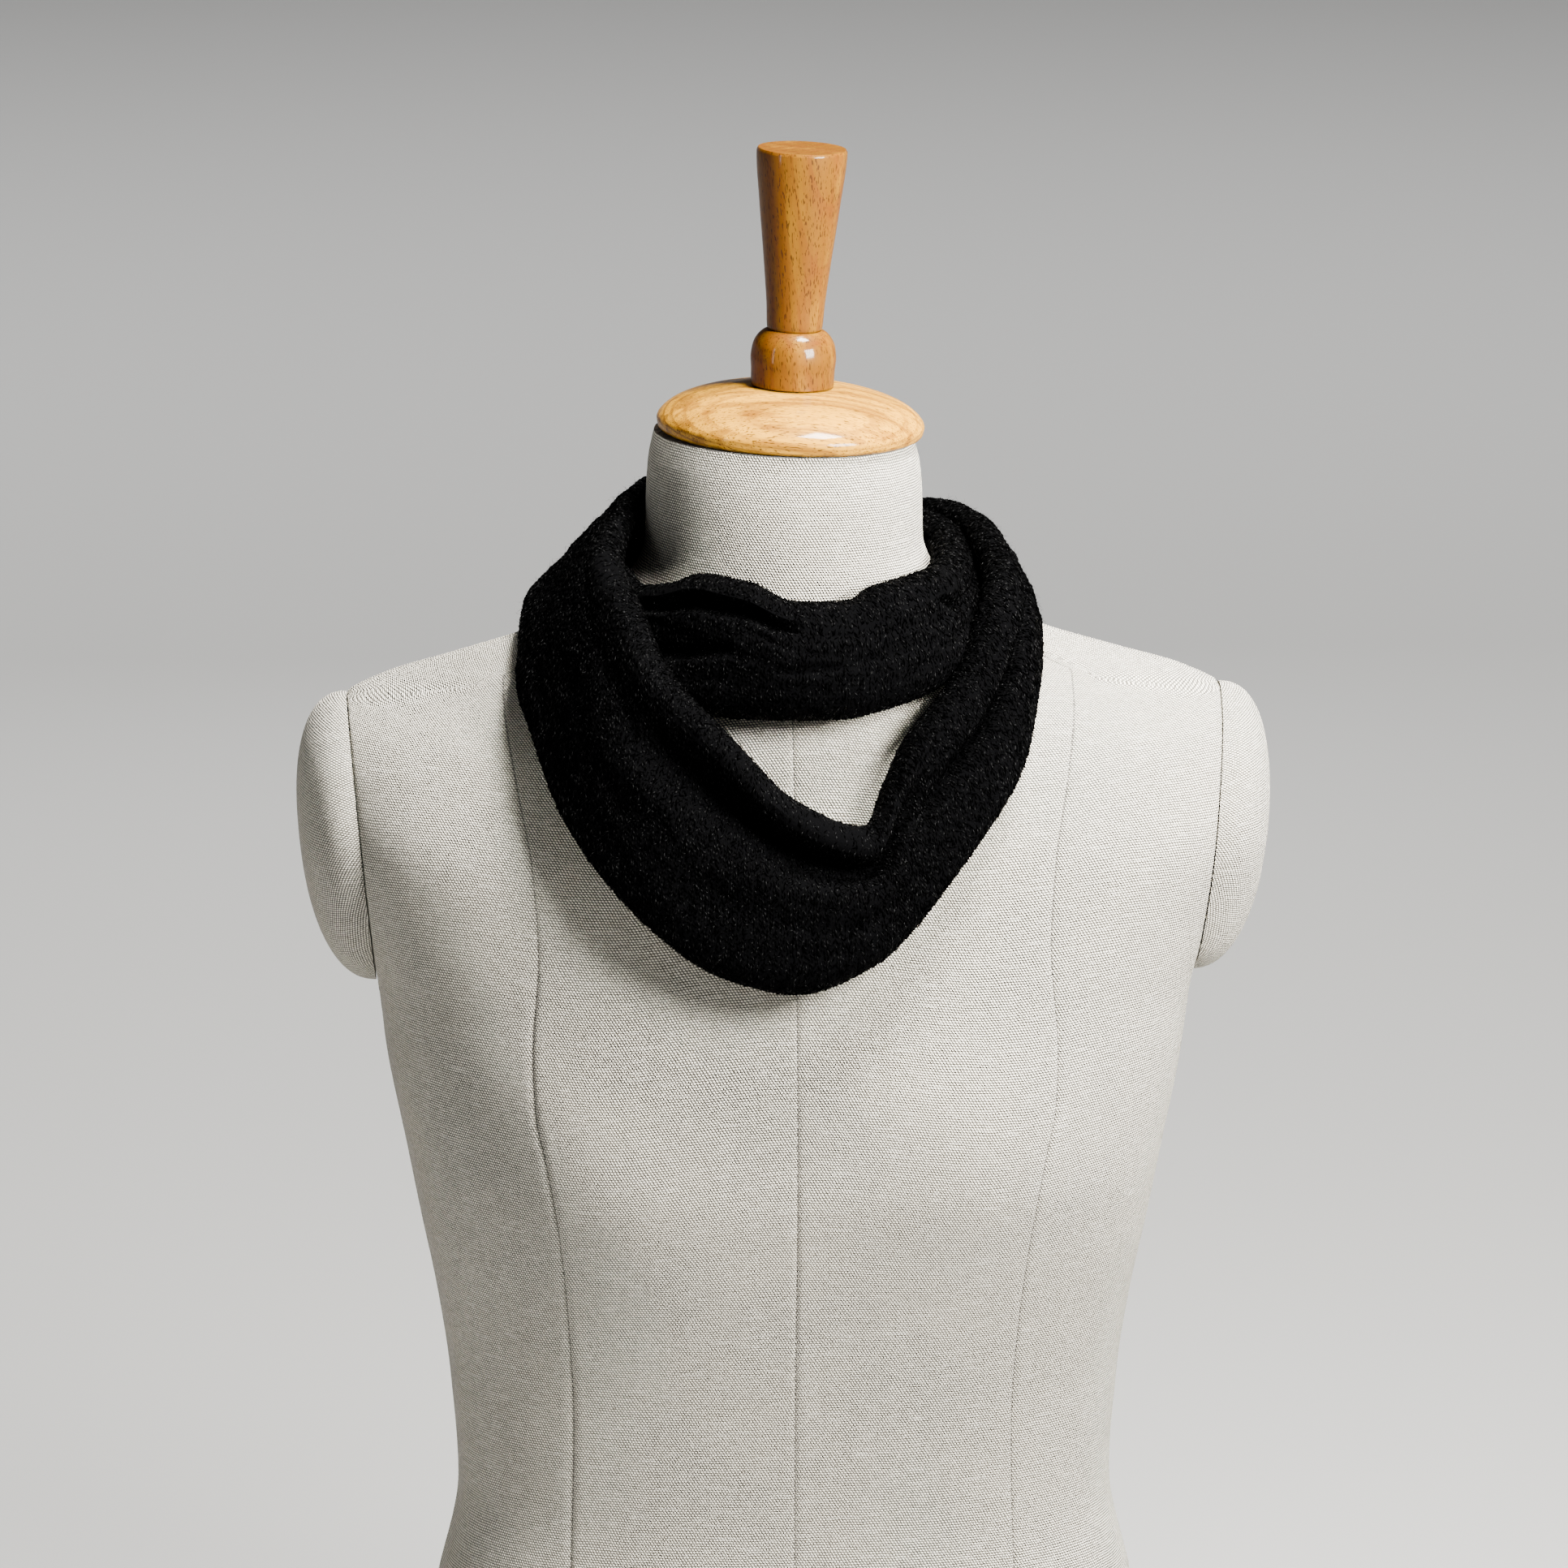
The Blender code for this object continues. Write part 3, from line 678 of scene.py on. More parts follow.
# %% Turn the wood
WOOD_X = 0.0025  # the wood sits a little off the middle of the neck
WOOD_POINTS = 96
WOOD_SAMPLES = 60
CAP_PROFILE = (
    (0.0, 0.0205), (0.020, 0.0200), (0.030, 0.0185), (0.040, 0.0160), (0.048, 0.0128),
    (0.0535, 0.0088), (0.0557, 0.0052), (0.0550, 0.0020), (0.0520, 0.0003), (0.0, 0.0003),
)
BULB_PROFILE = (
    (0.0, 0.0440), (0.0112, 0.0440), (0.0150, 0.0415), (0.0172, 0.0370), (0.0178, 0.0320),
    (0.0174, 0.0270), (0.0172, 0.0208), (0.0, 0.0208),
)
FINIAL_PROFILE = (
    (0.0, 0.1198), (0.0182, 0.1198), (0.0188, 0.1186), (0.0168, 0.0970), (0.0142, 0.0745),
    (0.0122, 0.0555), (0.0112, 0.0443), (0.0, 0.0443),
)


def profile_samples(profile):
    """Radius and height as smooth functions of the length along the profile."""
    corners = np.array(profile)
    travel = np.concatenate([[0.0], np.cumsum(np.linalg.norm(np.diff(corners, axis=0), axis=1))])
    fine = np.unique(np.concatenate([np.linspace(0.0, travel[-1], WOOD_SAMPLES), travel]))
    fine = fine[1:-1]
    return smooth(fine, travel, corners[:, 0]), smooth(fine, travel, corners[:, 1])


def turned_piece(name, profile, finish, node):
    """x = radius cos a, y = radius sin a, z = height, tilted by LEAN about Y and set on the neck."""
    radius, height = profile_samples(profile)
    angle = np.arange(WOOD_POINTS) * 2.0 * math.pi / WOOD_POINTS
    flat = np.stack(np.broadcast_arrays(radius[:, None] * np.cos(angle),
                                        radius[:, None] * np.sin(angle), height[:, None]), axis=-1)
    tilt = np.array(Matrix.Rotation(LEAN, 3, "Y"))
    centre = np.array([WOOD_X, 0.0, NECK_TOP - WOOD_X * math.tan(LEAN)])
    points = flat @ tilt.T + centre
    length = np.cumsum(np.hypot(np.diff(radius, prepend=radius[0]), np.diff(height, prepend=0.0)))
    turn_uv = np.linspace(0.0, 2.0 * math.pi * radius.max(), WOOD_POINTS + 1)
    map_uv = np.stack(np.broadcast_arrays(turn_uv[None, :], length[:, None]), axis=-1)
    mesh = grid_mesh(name, points, map_uv, close_columns=True, cap_ends=True)
    return add_piece(name, mesh, finish, "form_wood", node)


# %% [markdown]
# ## Varnished wood
#
# The wood is pale and honey coloured, with darker yearly rings and short brown pores. A log's rings
# are cylinders round its heart, and where a turned surface just touches a ring, it shows as nested
# ovals. So the rings are the distance from a log's axis, which for the cap lies flat and for the
# handle stands upright. Painted stripes would not match from the top.

# %% Wood finish
WOOD_PALE = (0.52, 0.245, 0.010, 1.0)
WOOD_HONEY = (0.105, 0.041, 0.001, 1.0)
WOOD_DARK = (0.090, 0.025, 0.002, 1.0)
PORE = (0.018, 0.005, 0.001, 1.0)


def wood_finish(name, heart, turn, ring, honey, bend):
    """Rings: the distance from the heart's axis, plus bend x length^2 for a log that isn't straight.

    The pores and fibres are noise stretched along the axis."""
    f = Finish(name)
    point = f.object_point(heart, turn)

    def grain(along, across, detail):
        stretch = {0: point, 1: (along, across, across)}
        drawn = f.node("ShaderNodeVectorMath", {"operation": "MULTIPLY"}, stretch)
        return f.noise(drawn, 1.0, detail)

    sway = grain(9.0, 26.0, 2.0) - 0.5
    along, across, up = f.split(point)
    distance = (across * across + up * up) ** 0.5 + along * along * bend + sway * (0.45 * ring)
    phase = (distance / ring).part()
    late = phase.step(0.40, 0.93) * (1.0 - phase.step(0.93, 1.0))
    year = f.random(f.vector((distance / ring).whole(), 3.0))
    fibre = grain(12.0, 800.0, 3.0)
    streak = grain(3.0, 190.0, 2.0).step(0.50, 0.62)
    pores = grain(300.0, 1700.0, 1.0).step(0.575, 0.66)
    broad = grain(8.0, 70.0, 2.0).step(0.30, 0.70)
    colour = f.blend(broad * 0.25 + honey, WOOD_PALE, WOOD_HONEY)
    colour = f.blend(late * (0.35 + year * 0.45), colour, WOOD_DARK)
    colour = f.blend(streak * 0.50, colour, WOOD_DARK)
    colour = f.blend(fibre.step(0.42, 0.70) * 0.30, colour, WOOD_DARK)
    colour = f.blend(pores * 0.75, colour, PORE)
    normal = f.bump(fibre * 0.6 - pores * 0.4, 0.00006, 0.35)
    f.set(Base_Color=colour, Roughness=0.46 + fibre * 0.12, Normal=normal, Coat_Weight=0.3,
          Coat_Roughness=0.12, Coat_IOR=1.5, Specular_IOR_Level=0.05)
    return f.material


HANDLE_HEART = (-0.055, 0.060, 0.70)
UPRIGHT = (0.0, math.radians(93.0), 0.0)
CAP_HEART = (-0.0201, 0.0475, 0.4393)  # deep in a thick log, below and behind the front of the cap
CAP_SLOPE = (0.0, math.radians(-9.6), 0.0)
cap_wood = wood_finish("wood_neck_cap", CAP_HEART, CAP_SLOPE, 0.0023, 0.12, 3.0)
handle_wood = wood_finish("wood_handle", HANDLE_HEART, UPRIGHT, 0.0050, 0.88, 0.0)
turned_piece("wood_cap", CAP_PROFILE, cap_wood, "neck_cap")
turned_piece("wood_collar", BULB_PROFILE, handle_wood, "bulb_collar")
turned_piece("wood_handle", FINIAL_PROFILE, handle_wood, "finial")

# %% [markdown]
# ## The neck warmer's path and folds
#
# The knit is a flattened tube that winds twice round the neck. In the upright plane at each turn its
# section is a flat band with rounded edges, and a table gives that section's top and low edge, its
# thickness and how far it arches out. A cloth simulation would find some drape, but not this one.
# So soft hollows and ridges are pressed into the outer side one by one, long ones first.

# %% Path and sections
KNIT_COLUMNS = ("turn", "top_r", "top_z", "low_r", "low_z", "thick", "arch")
KNIT_SECTIONS = (
    (-90, 0.062, 0.626, 0.107, 0.579, 0.010, 0.0),
    (-75, 0.070, 0.622, 0.113, 0.567, 0.014, 0.001),
    (-60, 0.083, 0.616, 0.124, 0.548, 0.018, 0.003),
    (-45, 0.096, 0.605, 0.127, 0.508, 0.021, 0.003),
    (-30, 0.104, 0.574, 0.125, 0.474, 0.021, 0.002),
    (-15, 0.105, 0.549, 0.120, 0.452, 0.021, 0.0),
    (0, 0.106, 0.523, 0.118, 0.445, 0.022, 0.0),
    (15, 0.108, 0.512, 0.119, 0.456, 0.022, 0.0),
    (22, 0.100, 0.528, 0.120, 0.468, 0.021, 0.0),
    (30, 0.094, 0.545, 0.121, 0.486, 0.020, 0.001),
    (45, 0.096, 0.568, 0.123, 0.520, 0.020, 0.002),
    (60, 0.095, 0.596, 0.113, 0.553, 0.018, 0.002),
    (75, 0.088, 0.608, 0.105, 0.571, 0.015, 0.001),
    (90, 0.081, 0.614, 0.100, 0.578, 0.013, 0.001),
    (120, 0.082, 0.616, 0.100, 0.573, 0.013, 0.001),
    (150, 0.086, 0.610, 0.100, 0.561, 0.014, 0.002),
    (180, 0.087, 0.589, 0.099, 0.545, 0.017, 0.002),
    (200, 0.080, 0.590, 0.094, 0.550, 0.016, 0.001),
    (225, 0.074, 0.599, 0.090, 0.562, 0.012, 0.0),
    (250, 0.068, 0.602, 0.086, 0.578, 0.009, 0.0),
    (270, 0.067, 0.604, 0.083, 0.592, 0.008, 0.0),
    (290, 0.069, 0.602, 0.083, 0.583, 0.011, 0.0),
    (300, 0.070, 0.599, 0.084, 0.572, 0.015, 0.0),
    (315, 0.069, 0.602, 0.084, 0.561, 0.020, 0.0),
    (330, 0.068, 0.608, 0.086, 0.553, 0.021, 0.0),
    (345, 0.068, 0.606, 0.085, 0.5525, 0.024, 0.001),
    (360, 0.071, 0.599, 0.085, 0.552, 0.026, 0.002),
    (375, 0.071, 0.5980, 0.085, 0.552, 0.026, 0.002),
    (381, 0.071, 0.5985, 0.085, 0.5530, 0.026, 0.001),
    (386, 0.071, 0.6025, 0.086, 0.5545, 0.026, 0.001),
    (392, 0.071, 0.6040, 0.086, 0.5560, 0.025, 0.001),
    (405, 0.070, 0.605, 0.087, 0.561, 0.024, 0.0),
    (420, 0.069, 0.6055, 0.083, 0.571, 0.022, 0.0),
    (435, 0.067, 0.6080, 0.078, 0.583, 0.018, 0.0),
    (450, 0.066, 0.6110, 0.075, 0.591, 0.016, 0.0),
    (480, 0.066, 0.6145, 0.076, 0.594, 0.015, 0.0),
    (510, 0.066, 0.6210, 0.075, 0.594, 0.015, 0.0),
    (540, 0.066, 0.6270, 0.081, 0.598, 0.017, 0.0),
    (560, 0.065, 0.6280, 0.090, 0.599, 0.016, 0.0),
    (585, 0.065, 0.6275, 0.097, 0.590, 0.012, 0.0),
    (610, 0.063, 0.6260, 0.103, 0.582, 0.010, 0.0),
    (630, 0.062, 0.626, 0.107, 0.579, 0.010, 0.0),
)
TWO_TURNS = 720.0
FIRST_TURN = -90.0


def knit_size(turn, name):
    """A size of the band at a turn; the table's last row runs on into its first."""
    turns = column(KNIT_SECTIONS, KNIT_COLUMNS, "turn")
    sizes = column(KNIT_SECTIONS, KNIT_COLUMNS, name)
    turns = np.concatenate([turns[-2:-1] - TWO_TURNS, turns, turns[1:2] + TWO_TURNS])
    sizes = np.concatenate([sizes[-2:-1], sizes, sizes[1:2]])
    return smooth(turn, turns, sizes)


# %% Folds
FOLD_COLUMNS = ("start", "end", "share_start", "share_end", "width", "depth")
KNIT_FOLDS = (
    (-42, 30, 0.26, 0.19, 0.15, 0.0055),  # trough behind the front ridge of the low loop
    (-32, 28, 0.23, 0.17, 0.11, 0.0085),  # the same, deeper towards the middle
    (24, 92, 0.40, 0.20, 0.080, 0.0110),  # right side, between the inner strip and the main band
    (306, 362, 0.09, 0.03, 0.08, 0.0095),  # hollow between two layers at the high loop's edge
    (316, 344, 0.74, 0.50, 0.08, 0.0060),  # crease that runs up from the high loop's lower left
    (405, 416, 0.02, 0.44, 0.10, 0.0055),  # short dent on its right
    (100, 176, 0.42, 0.55, 0.13, 0.0050),  # behind, on the outer strand
    (470, 560, 0.45, 0.35, 0.14, 0.0022),  # behind, on the inner strand
    (566, 616, 0.55, 0.66, 0.12, 0.0020),  # behind left, where it lies over the other strand
    (-84, -36, 0.58, 0.66, 0.14, 0.0008),  # soft ones, where the low loop climbs to the left
    (-20, 30, 0.66, 0.76, 0.09, 0.0013),
    (352, 400, 0.74, 0.62, 0.10, 0.0010),
    (414, 446, 0.30, 0.44, 0.09, 0.0020),
    (186, 262, 0.40, 0.60, 0.10, 0.0022),
    (120, 168, 0.74, 0.80, 0.07, 0.0020),
    (480, 534, 0.72, 0.60, 0.08, 0.0018),
)
FOLD_FADE = 0.6


def fold_depth(turn, share):
    """Sum over the folds of depth x a sine along it x a bell across it."""
    depth = 0.0 * turn * share
    for row in KNIT_FOLDS:
        fold = dict(zip(FOLD_COLUMNS, row))
        run = np.clip((turn - fold["start"]) / (fold["end"] - fold["start"]), 0.0, 1.0)
        middle = fold["share_start"] + (fold["share_end"] - fold["share_start"]) * run
        fade = np.sin(math.pi * run) ** FOLD_FADE
        depth = depth + fold["depth"] * fade * np.exp(-((share - middle) / fold["width"]) ** 2)
    return depth


# %% Tube of knit
KNIT_RINGS = 400
OUTER_POINTS = 52
EDGE_POINTS = 9
INNER_POINTS = 20
REST_GAP = 0.0009  # cloth to canvas
RIPPLE = 0.00025
WAVES = ((11, 3, 0.4, 1.0), (17, -5, 1.9, 0.8), (29, 4, 3.1, 0.6), (41, -9, 0.9, 0.45),
         (23, 7, 2.2, 0.6))
KNIT_WALL = 0.0022
SLOPE_STEP = 0.0005


def band_outline():
    """Once round the section: shares of the width, and offsets along and across it."""
    arc = np.linspace(0.0, math.pi, EDGE_POINTS + 2)[1:-1]
    outer = np.linspace(0.0, 1.0, OUTER_POINTS)
    inner = np.linspace(1.0, 0.0, INNER_POINTS)
    share = np.concatenate([outer, np.ones(EDGE_POINTS), inner, np.zeros(EDGE_POINTS)])
    along = np.concatenate([0.0 * outer, np.sin(arc), 0.0 * inner, -np.sin(arc)])
    across = np.concatenate([1.0 + 0.0 * outer, np.cos(arc), -1.0 + 0.0 * inner, -np.cos(arc)])
    return share[None, :], along[None, :], across[None, :]


def ripple(turn, around):
    """Small uneven waves of the cloth: sines with unrelated lengths, along and round it."""
    angle = np.radians(turn) / 2.0
    return sum(size * np.sin(k * angle + m * around + phase) for k, m, phase, size in WAVES)


def keep_clear(turn, radius, z, gap):
    """Move points nearer than gap to the form straight out from it, by the form's own slope."""
    for _ in range(3):
        here = form_radius(turn, z)
        slope = (form_radius(turn, z + SLOPE_STEP) - here) / SLOPE_STEP
        size = np.sqrt(1.0 + slope ** 2)
        short = np.maximum(gap - (radius - here) / size, 0.0)
        radius = radius + short / size
        z = z - short * slope / size
    return radius, z


def knit_grid():
    """Top edge + travel down the band + rise out of it, minus the folds."""
    share, along, across = band_outline()
    turn = (FIRST_TURN + np.arange(KNIT_RINGS) * TWO_TURNS / KNIT_RINGS)[:, None]
    top = np.stack([knit_size(turn, "top_r"), knit_size(turn, "top_z")], axis=-1)
    low = np.stack([knit_size(turn, "low_r"), knit_size(turn, "low_z")], axis=-1)
    width = np.linalg.norm(low - top, axis=-1)
    down = (low - top) / width[..., None]
    out = np.stack([-down[..., 1], down[..., 0]], axis=-1)
    half = 0.5 * knit_size(turn, "thick")
    travel = half + share * (width - 2.0 * half) + along * half
    rise = across * half + knit_size(turn, "arch") * 4.0 * share * (1.0 - share)
    outer = np.arange(share.size)[None, :] < OUTER_POINTS
    around = np.arange(share.size)[None, :] * 2.0 * math.pi / share.size
    rise = rise - np.where(outer, fold_depth(turn, share), 0.0)
    rise = rise + np.where(across > -0.5, RIPPLE * ripple(turn, around), 0.0)
    flat = top + travel[..., None] * down + rise[..., None] * out
    radius, z = keep_clear(turn + 0.0 * share, flat[..., 0], flat[..., 1], REST_GAP)
    return place(turn, radius, z)


def ring_steps(points, axis):
    """Lengths of a grid's steps along one closed direction."""
    return np.linalg.norm(np.roll(points, -1, axis=axis) - points, axis=-1)


knit_points = knit_grid()
round_steps = ring_steps(knit_points, 1)
tube_round = round_steps.sum(axis=1)
loop_long = ring_steps(knit_points, 0).mean(axis=1)
loop_at = np.concatenate([[0.0], np.cumsum(loop_long)])
round_map = np.concatenate([np.zeros((KNIT_RINGS, 1)), np.cumsum(round_steps, axis=1)], axis=1)
round_map = np.concatenate([round_map, round_map[:1]], axis=0)
knit_map = np.stack([loop_at[:, None] + 0.0 * round_map, round_map], axis=-1)
print("tube all round, mm: mean", round(float(tube_round.mean()) * 1000),
      "least", round(float(tube_round.min()) * 1000), "most", round(float(tube_round.max()) * 1000))
print("loop length", round(float(loop_long.sum()), 3), "m, both layers",
      round(float(tube_round.mean() * loop_long.sum()), 4), "m2")

# %% [markdown]
# ## Black knit
#
# Between the stitches one looks into the cloth, which is nearly black. Its shine is turned down to
# almost nothing, because wool hides light between its hairs, while a smooth black plastic of the
# same colour would still mirror the pale room.

# %% Knit ground
YARN_BLACK = (0.0002, 0.0002, 0.0003, 1.0)


def knit_ground(name):
    """Nearly black, and a little uneven."""
    f = Finish(name)
    hairs = f.noise(f.surface_map()[0], 2200.0, 2.0)
    f.set(Base_Color=f.blend(hairs.step(0.35, 0.75), YARN_BLACK, (0.0005, 0.0005, 0.0006, 1.0)),
          Roughness=0.95, Normal=f.bump(hairs, 0.0003, 0.5), Specular_IOR_Level=0.02)
    return f.material


# %% Build the tube
STRETCHES = ("scarf_low_front", "scarf_outer_back", "scarf_high_front", "scarf_inner_back")

knit_mesh = grid_mesh("neck_warmer", knit_points, knit_map, close_rows=True, close_columns=True)
neck_warmer = add_piece("neck_warmer", knit_mesh, knit_ground("black_knit"), "black_knit",
                        *STRETCHES)
wall = neck_warmer.modifiers.new("wall", "SOLIDIFY")
wall.thickness = KNIT_WALL
wall.offset = -1.0

# %% [markdown]
# ## Stitches
#
# Each stitch of plain knit is a small V of yarn: two legs that lean together, in columns that run
# round this tube. In black yarn one sees the glints on the legs, and the bumps that they make along
# every edge. A relief in the material would leave the edges smooth, so each leg is a real spindle
# with a crown and two pointed ends. The places, the tilts and the corners are whole arrays, and
# each stretch of the scarf becomes a single joined mesh.

# %% Places on the tube
FAR = 1.0  # metres, longer than any ring, to keep the rings apart


def grid_normals(points):
    """Outward (a cross product), down and along the tube, from the differences of neighbours."""
    along = np.roll(points, -1, axis=0) - np.roll(points, 1, axis=0)
    around = np.roll(points, -1, axis=1) - np.roll(points, 1, axis=1)
    return unit(np.cross(around, along)), unit(around), unit(along)


def unit(vectors):
    return vectors / np.linalg.norm(vectors, axis=-1, keepdims=True)


def on_tube(values, ring, around):
    """Grid values at a fraction of a ring and a length round the tube, by straight lines."""
    keys = (round_map[:-1] + FAR * np.arange(KNIT_RINGS)[:, None]).ravel()
    marks = np.tile(np.arange(values.shape[1] + 1.0), KNIT_RINGS)
    low = np.floor(ring).astype(int)
    found = []
    for side in (low % KNIT_RINGS, (low + 1) % KNIT_RINGS):
        column_at = np.interp(around + FAR * side, keys, marks)
        first = np.floor(column_at).astype(int)
        share = (column_at - first)[:, None]
        size = values.shape[1]
        found.append(values[side, first % size] * (1.0 - share)
                     + values[side, (first + 1) % size] * share)
    share = (ring - low)[:, None]
    return found[0] * (1.0 - share) + found[1] * share


knit_frame = (knit_points, *grid_normals(knit_points))
ring_at = np.arange(KNIT_RINGS + 1.0)

# %% Stitch legs
WALE = 0.0024  # width of a stitch
COURSE = 0.0020  # height of a stitch
LEG_LENGTH = 0.0031
LEG_WIDTH = 0.00090
LEG_CROWN = 0.00050  # how far the leg stands out of the cloth
LEG_LEAN = math.radians(22.0)
LEG_STRAY = math.radians(20.0)
LEAST_CLEAR = 0.0024  # nearer to the canvas than this, no stitch can be seen
PLACE_STRAY = (0.00022, 0.00026)  # along and round the tube
SIZE_STRAY = 0.12
LIFT, LIFT_STRAY = 0.00004, 0.00013
DIP = 0.00012  # of the leg's ends and sides
SPINDLE = np.array([(0, 2, 3), (0, 3, 4), (0, 4, 2), (1, 3, 2), (1, 4, 3), (1, 2, 4)])
chance = np.random.default_rng(7)


def leg_places():
    """Ring, length round the tube and side, -1 or 1, of each leg."""
    columns = int(loop_at[-1] / WALE)
    middle = (np.arange(columns) + 0.5) * loop_at[-1] / columns
    rows = (np.interp(np.interp(middle, loop_at, ring_at), ring_at[:-1], tube_round)
            / COURSE).astype(int)
    column_of = np.repeat(np.arange(columns), rows)
    row_of = np.arange(rows.sum()) - np.repeat(np.cumsum(rows) - rows, rows)
    side = np.repeat([[-1.0, 1.0]], column_of.size, axis=0).ravel()
    along = np.repeat(middle[column_of], 2) + 0.25 * WALE * side
    around = (np.repeat(row_of, 2) + 0.5) * COURSE
    along = along + chance.normal(0.0, PLACE_STRAY[0], along.size)
    around = around + chance.normal(0.0, PLACE_STRAY[1], along.size)
    return np.interp(along % loop_at[-1], loop_at, ring_at), np.maximum(around, 0.0), side


def spindles(start, end, crown, left, right):
    """Two ends and three points round the middle of each."""
    corners = np.stack([start, end, crown, left, right], axis=1)
    index = SPINDLE[None] + 5 * np.arange(len(corners))[:, None, None]
    return corners.reshape(-1, 3), index.reshape(-1, 3)


def joined_mesh(name, corners, index):
    """One mesh from an array of corners and an array of triangles."""
    mesh = bpy.data.meshes.new(name)
    mesh.vertices.add(len(corners))
    mesh.vertices.foreach_set("co", corners.astype(np.float32).ravel())
    mesh.loops.add(index.size)
    mesh.loops.foreach_set("vertex_index", index.astype(np.int32).ravel())
    mesh.polygons.add(len(index))
    mesh.polygons.foreach_set("loop_start", np.arange(len(index), dtype=np.int32) * 3)
    mesh.update(calc_edges=True)
    mesh.shade_smooth()
    return mesh


def leg_corners(ring, around, side):
    """Each leg leans to its side of the column; its crown stands out, its ends dip in."""
    here, out, down, along = (on_tube(values, ring, around) for values in knit_frame)
    out = unit(out)
    count = ring.size
    lean = side * LEG_LEAN + chance.normal(0.0, LEG_STRAY, count)
    size = (1.0 + chance.normal(0.0, SIZE_STRAY, count))[:, None]
    lift = (LIFT + chance.normal(0.0, LIFT_STRAY, count))[:, None]
    way = unit(along * np.sin(lean)[:, None] - down * np.cos(lean)[:, None])
    across = unit(np.cross(way, out))
    here = here + out * lift
    half = 0.5 * LEG_LENGTH * size * way
    flat = 0.5 * LEG_WIDTH * size * across
    dip = DIP * out
    return (here - half - dip, here + half - dip, here + LEG_CROWN * size * out,
            here - flat - dip, here + flat - dip)


leg_ring, leg_around, leg_side = leg_places()
leg_here = on_tube(knit_points, leg_ring, leg_around)
leg_turn = np.degrees(np.arctan2(leg_here[:, 0], -leg_here[:, 1]))
leg_clear = np.hypot(leg_here[:, 0], leg_here[:, 1]) - form_radius(leg_turn, leg_here[:, 2])
seen = leg_clear > LEAST_CLEAR
leg_ring, leg_around, leg_side = leg_ring[seen], leg_around[seen], leg_side[seen]
print("stitch legs", leg_ring.size, "of", seen.size)

# %% [markdown]
# ## Yarn
#
# The yarn is a black wool mix. Its legs are plain dark materials in three shades, dealt out at
# random, so that some stitches catch the light and others stay dark. A pattern inside each leg
# would be finer than anything that a picture can show.

# %% Yarn finishes
YARNS = (("yarn_deep", 0.0001, 0.70, 0.003), ("yarn_mid", 0.0002, 0.56, 0.012),
         ("yarn_bright", 0.0004, 0.42, 0.050))
YARN_SHARES = (0.42, 0.36, 0.22)


def yarn_finish(name, shade, roughness, shine):
    """One even dark colour, with a little shine."""
    f = Finish(name)
    f.set(Base_Color=(shade, shade, shade * 1.08, 1.0), Roughness=roughness,
          Specular_IOR_Level=shine)
    return f.material


yarns = [yarn_finish(*row) for row in YARNS]


def yarn_piece(name, corners, index, node):
    """A joined mesh of spindles, each of which gets one of the yarns at random."""
    mesh = joined_mesh(name, corners, index)
    piece = add_piece(name, mesh, yarns[0], "black_knit", node)
    for yarn in yarns[1:]:
        mesh.materials.append(yarn)
    choice = chance.choice(len(YARNS), size=len(index) // len(SPINDLE), p=YARN_SHARES)
    mesh.polygons.foreach_set("material_index", np.repeat(choice, len(SPINDLE)).astype(np.int32))
    return piece


# %% Knit the stitches
stretch_of = (leg_ring / KNIT_RINGS * len(STRETCHES)).astype(int)
for number, node in enumerate(STRETCHES):
    mine = stretch_of == number
    legs = spindles(*leg_corners(leg_ring[mine], leg_around[mine], leg_side[mine]))
    yarn_piece(node.replace("scarf", "stitches"), *legs, node)

# %% [markdown]
# ## Stray hairs
#
# Wool is never quite clean at its edge: fine hairs stand off it and blur the outline. Each hair is
# the same kind of spindle as a stitch leg, but as thin as a few hairs together, and bent once.

# %% Stray hairs
HAIR_COUNT = 15000
HAIR_LENGTH = (0.0012, 0.0048)
HAIR_THICK = 0.00007


def hair_corners(ring, around):
    """A start in the cloth, an end out of it, and a middle pushed aside for the bend."""
    here, out, down, along = (on_tube(values, ring, around) for values in knit_frame)
    count = ring.size
    angle = chance.uniform(0.0, 2.0 * math.pi, count)[:, None]
    flat = down * np.cos(angle) + along * np.sin(angle)
    steep = chance.uniform(0.15, 1.0, count)[:, None]
    way = unit(unit(out) * steep + flat)
    length = chance.uniform(*HAIR_LENGTH, count)[:, None]
    aside = unit(np.cross(way, out) + 0.3 * out)
    across = unit(np.cross(way, aside))
    start = here + 0.0001 * out
    middle = start + 0.5 * length * way + aside * length * chance.normal(0.0, 0.16, count)[:, None]
    end = start + length * way
    thick = 0.5 * HAIR_THICK
    return (start, end, middle + thick * aside, middle - thick * aside - thick * across,
            middle - thick * aside + thick * across)


picked = chance.choice(leg_ring.size, HAIR_COUNT, replace=False)
hairs = spindles(*hair_corners(leg_ring[picked], leg_around[picked]))
hair_piece = yarn_piece("stray_hairs", *hairs, STRETCHES[0])

# %% [markdown]
# ## Floor and light
#
# The photograph has one strong light high on the right, in front, and a weak one from the left that
# draws a thin gleam on the wood. A pale floor, lit all round, and a pale world give an even
# surround. Lights that only fill are kept out of the gloss.

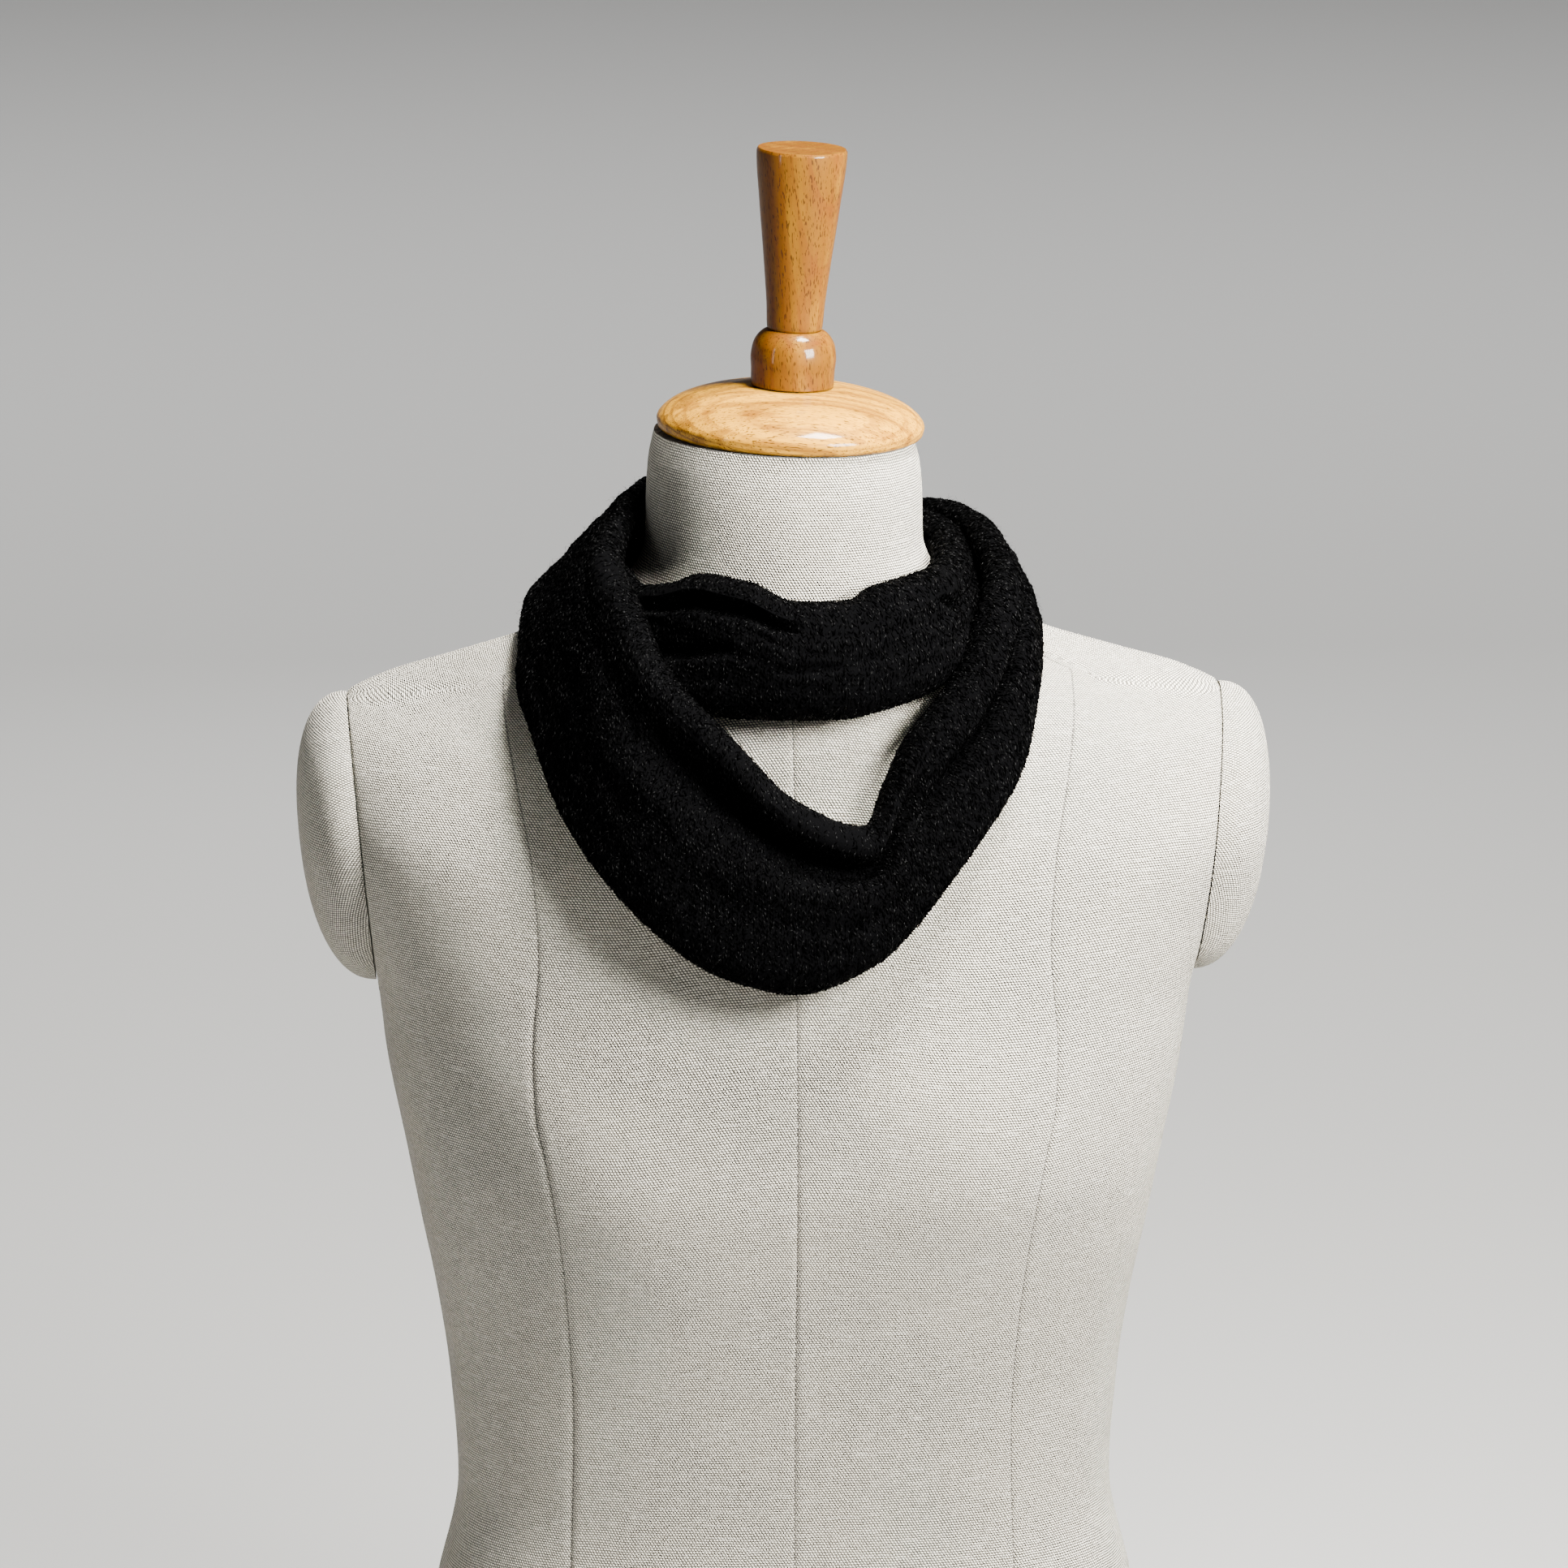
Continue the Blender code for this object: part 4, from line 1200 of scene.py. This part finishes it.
# %% Stage and lights
FLOOR_SIZE = 14.0
FLOOR_TONE = (0.30, 0.298, 0.292, 1.0)
WORLD_PALE = (0.46, 0.46, 0.47, 1.0)
WORLD_DIM = (0.045, 0.045, 0.05, 1.0)
WORLD_FADE = (0.02, 0.16)  # upward share of the direction
MIDDLE = (0.0, 0.0, 0.50)
WHITE = (1.0, 1.0, 1.0)
WARM = (1.0, 0.98, 0.94)
LIGHTS = (  # name, place, aim, width, height, watts, colour
    ("key", (0.50, -0.53, 0.88), MIDDLE, 0.30, 0.30, 50.0, WARM),
    ("top", (0.52, -0.26, 2.20), MIDDLE, 0.50, 0.50, 255.0, WARM),
    ("gleam", (-1.5, -0.9, 0.95), (0.0, 0.0, 0.60), 0.12, 1.1, 5.0, (0.95, 0.97, 1.0)),
)


def add_floor():
    """A flat square at the height of the form's underside."""
    corners = [(x * FLOOR_SIZE / 2, y * FLOOR_SIZE / 2, 0.0)
               for x, y in ((-1, -1), (1, -1), (1, 1), (-1, 1))]
    mesh = bpy.data.meshes.new("floor")
    mesh.from_pydata(corners, [], [(0, 1, 2, 3)])
    f = Finish("floor_paint")
    f.set(Base_Color=FLOOR_TONE, Roughness=0.9)
    mesh.materials.append(f.material)
    floor = bpy.data.objects.new("floor", mesh)
    bpy.context.scene.collection.objects.link(floor)


def add_light(name, place, aim, width, height, watts, colour, mirrored):
    """A rectangular soft light at a place, turned towards an aim point, seen in gloss or not."""
    lamp = bpy.data.lights.new(name, "AREA")
    lamp.shape, lamp.size, lamp.size_y = "RECTANGLE", width, height
    lamp.energy, lamp.color = watts, colour
    made = bpy.data.objects.new(name, lamp)
    made.visible_camera = False
    made.visible_glossy = mirrored
    bpy.context.scene.collection.objects.link(made)
    turned = (Vector(aim) - Vector(place)).to_track_quat("-Z", "Y").to_matrix().to_4x4()
    made.matrix_world = Matrix.Translation(place) @ turned


def add_world():
    """Pale round the horizon, dimmer overhead."""
    room = Finish("pale_room", bpy.data.worlds, "Background")
    up = room.split(room.node("ShaderNodeTexCoord"))[2]
    room.set(Color=room.blend(up.step(*WORLD_FADE), WORLD_PALE, WORLD_DIM), Strength=1.0)
    bpy.context.scene.world = room.material


add_floor()
add_world()
for row in LIGHTS:
    add_light(*row, mirrored=True)
add_light("fill_behind", (0.0, 2.2, 1.1), (0.0, 0.0, 0.45), 1.2, 1.2, 16.0, WHITE, mirrored=False)
for name, x, y in (("back", 0, 1), ("front", 0, -1), ("right", 1, 0), ("left", -1, 0)):
    add_light("background_" + name, (3.6 * x, 3.6 * y, 2.8), (5.6 * x, 5.6 * y, 0.0), 5.0, 2.5,
              260.0, WHITE, mirrored=False)
print("lights set")
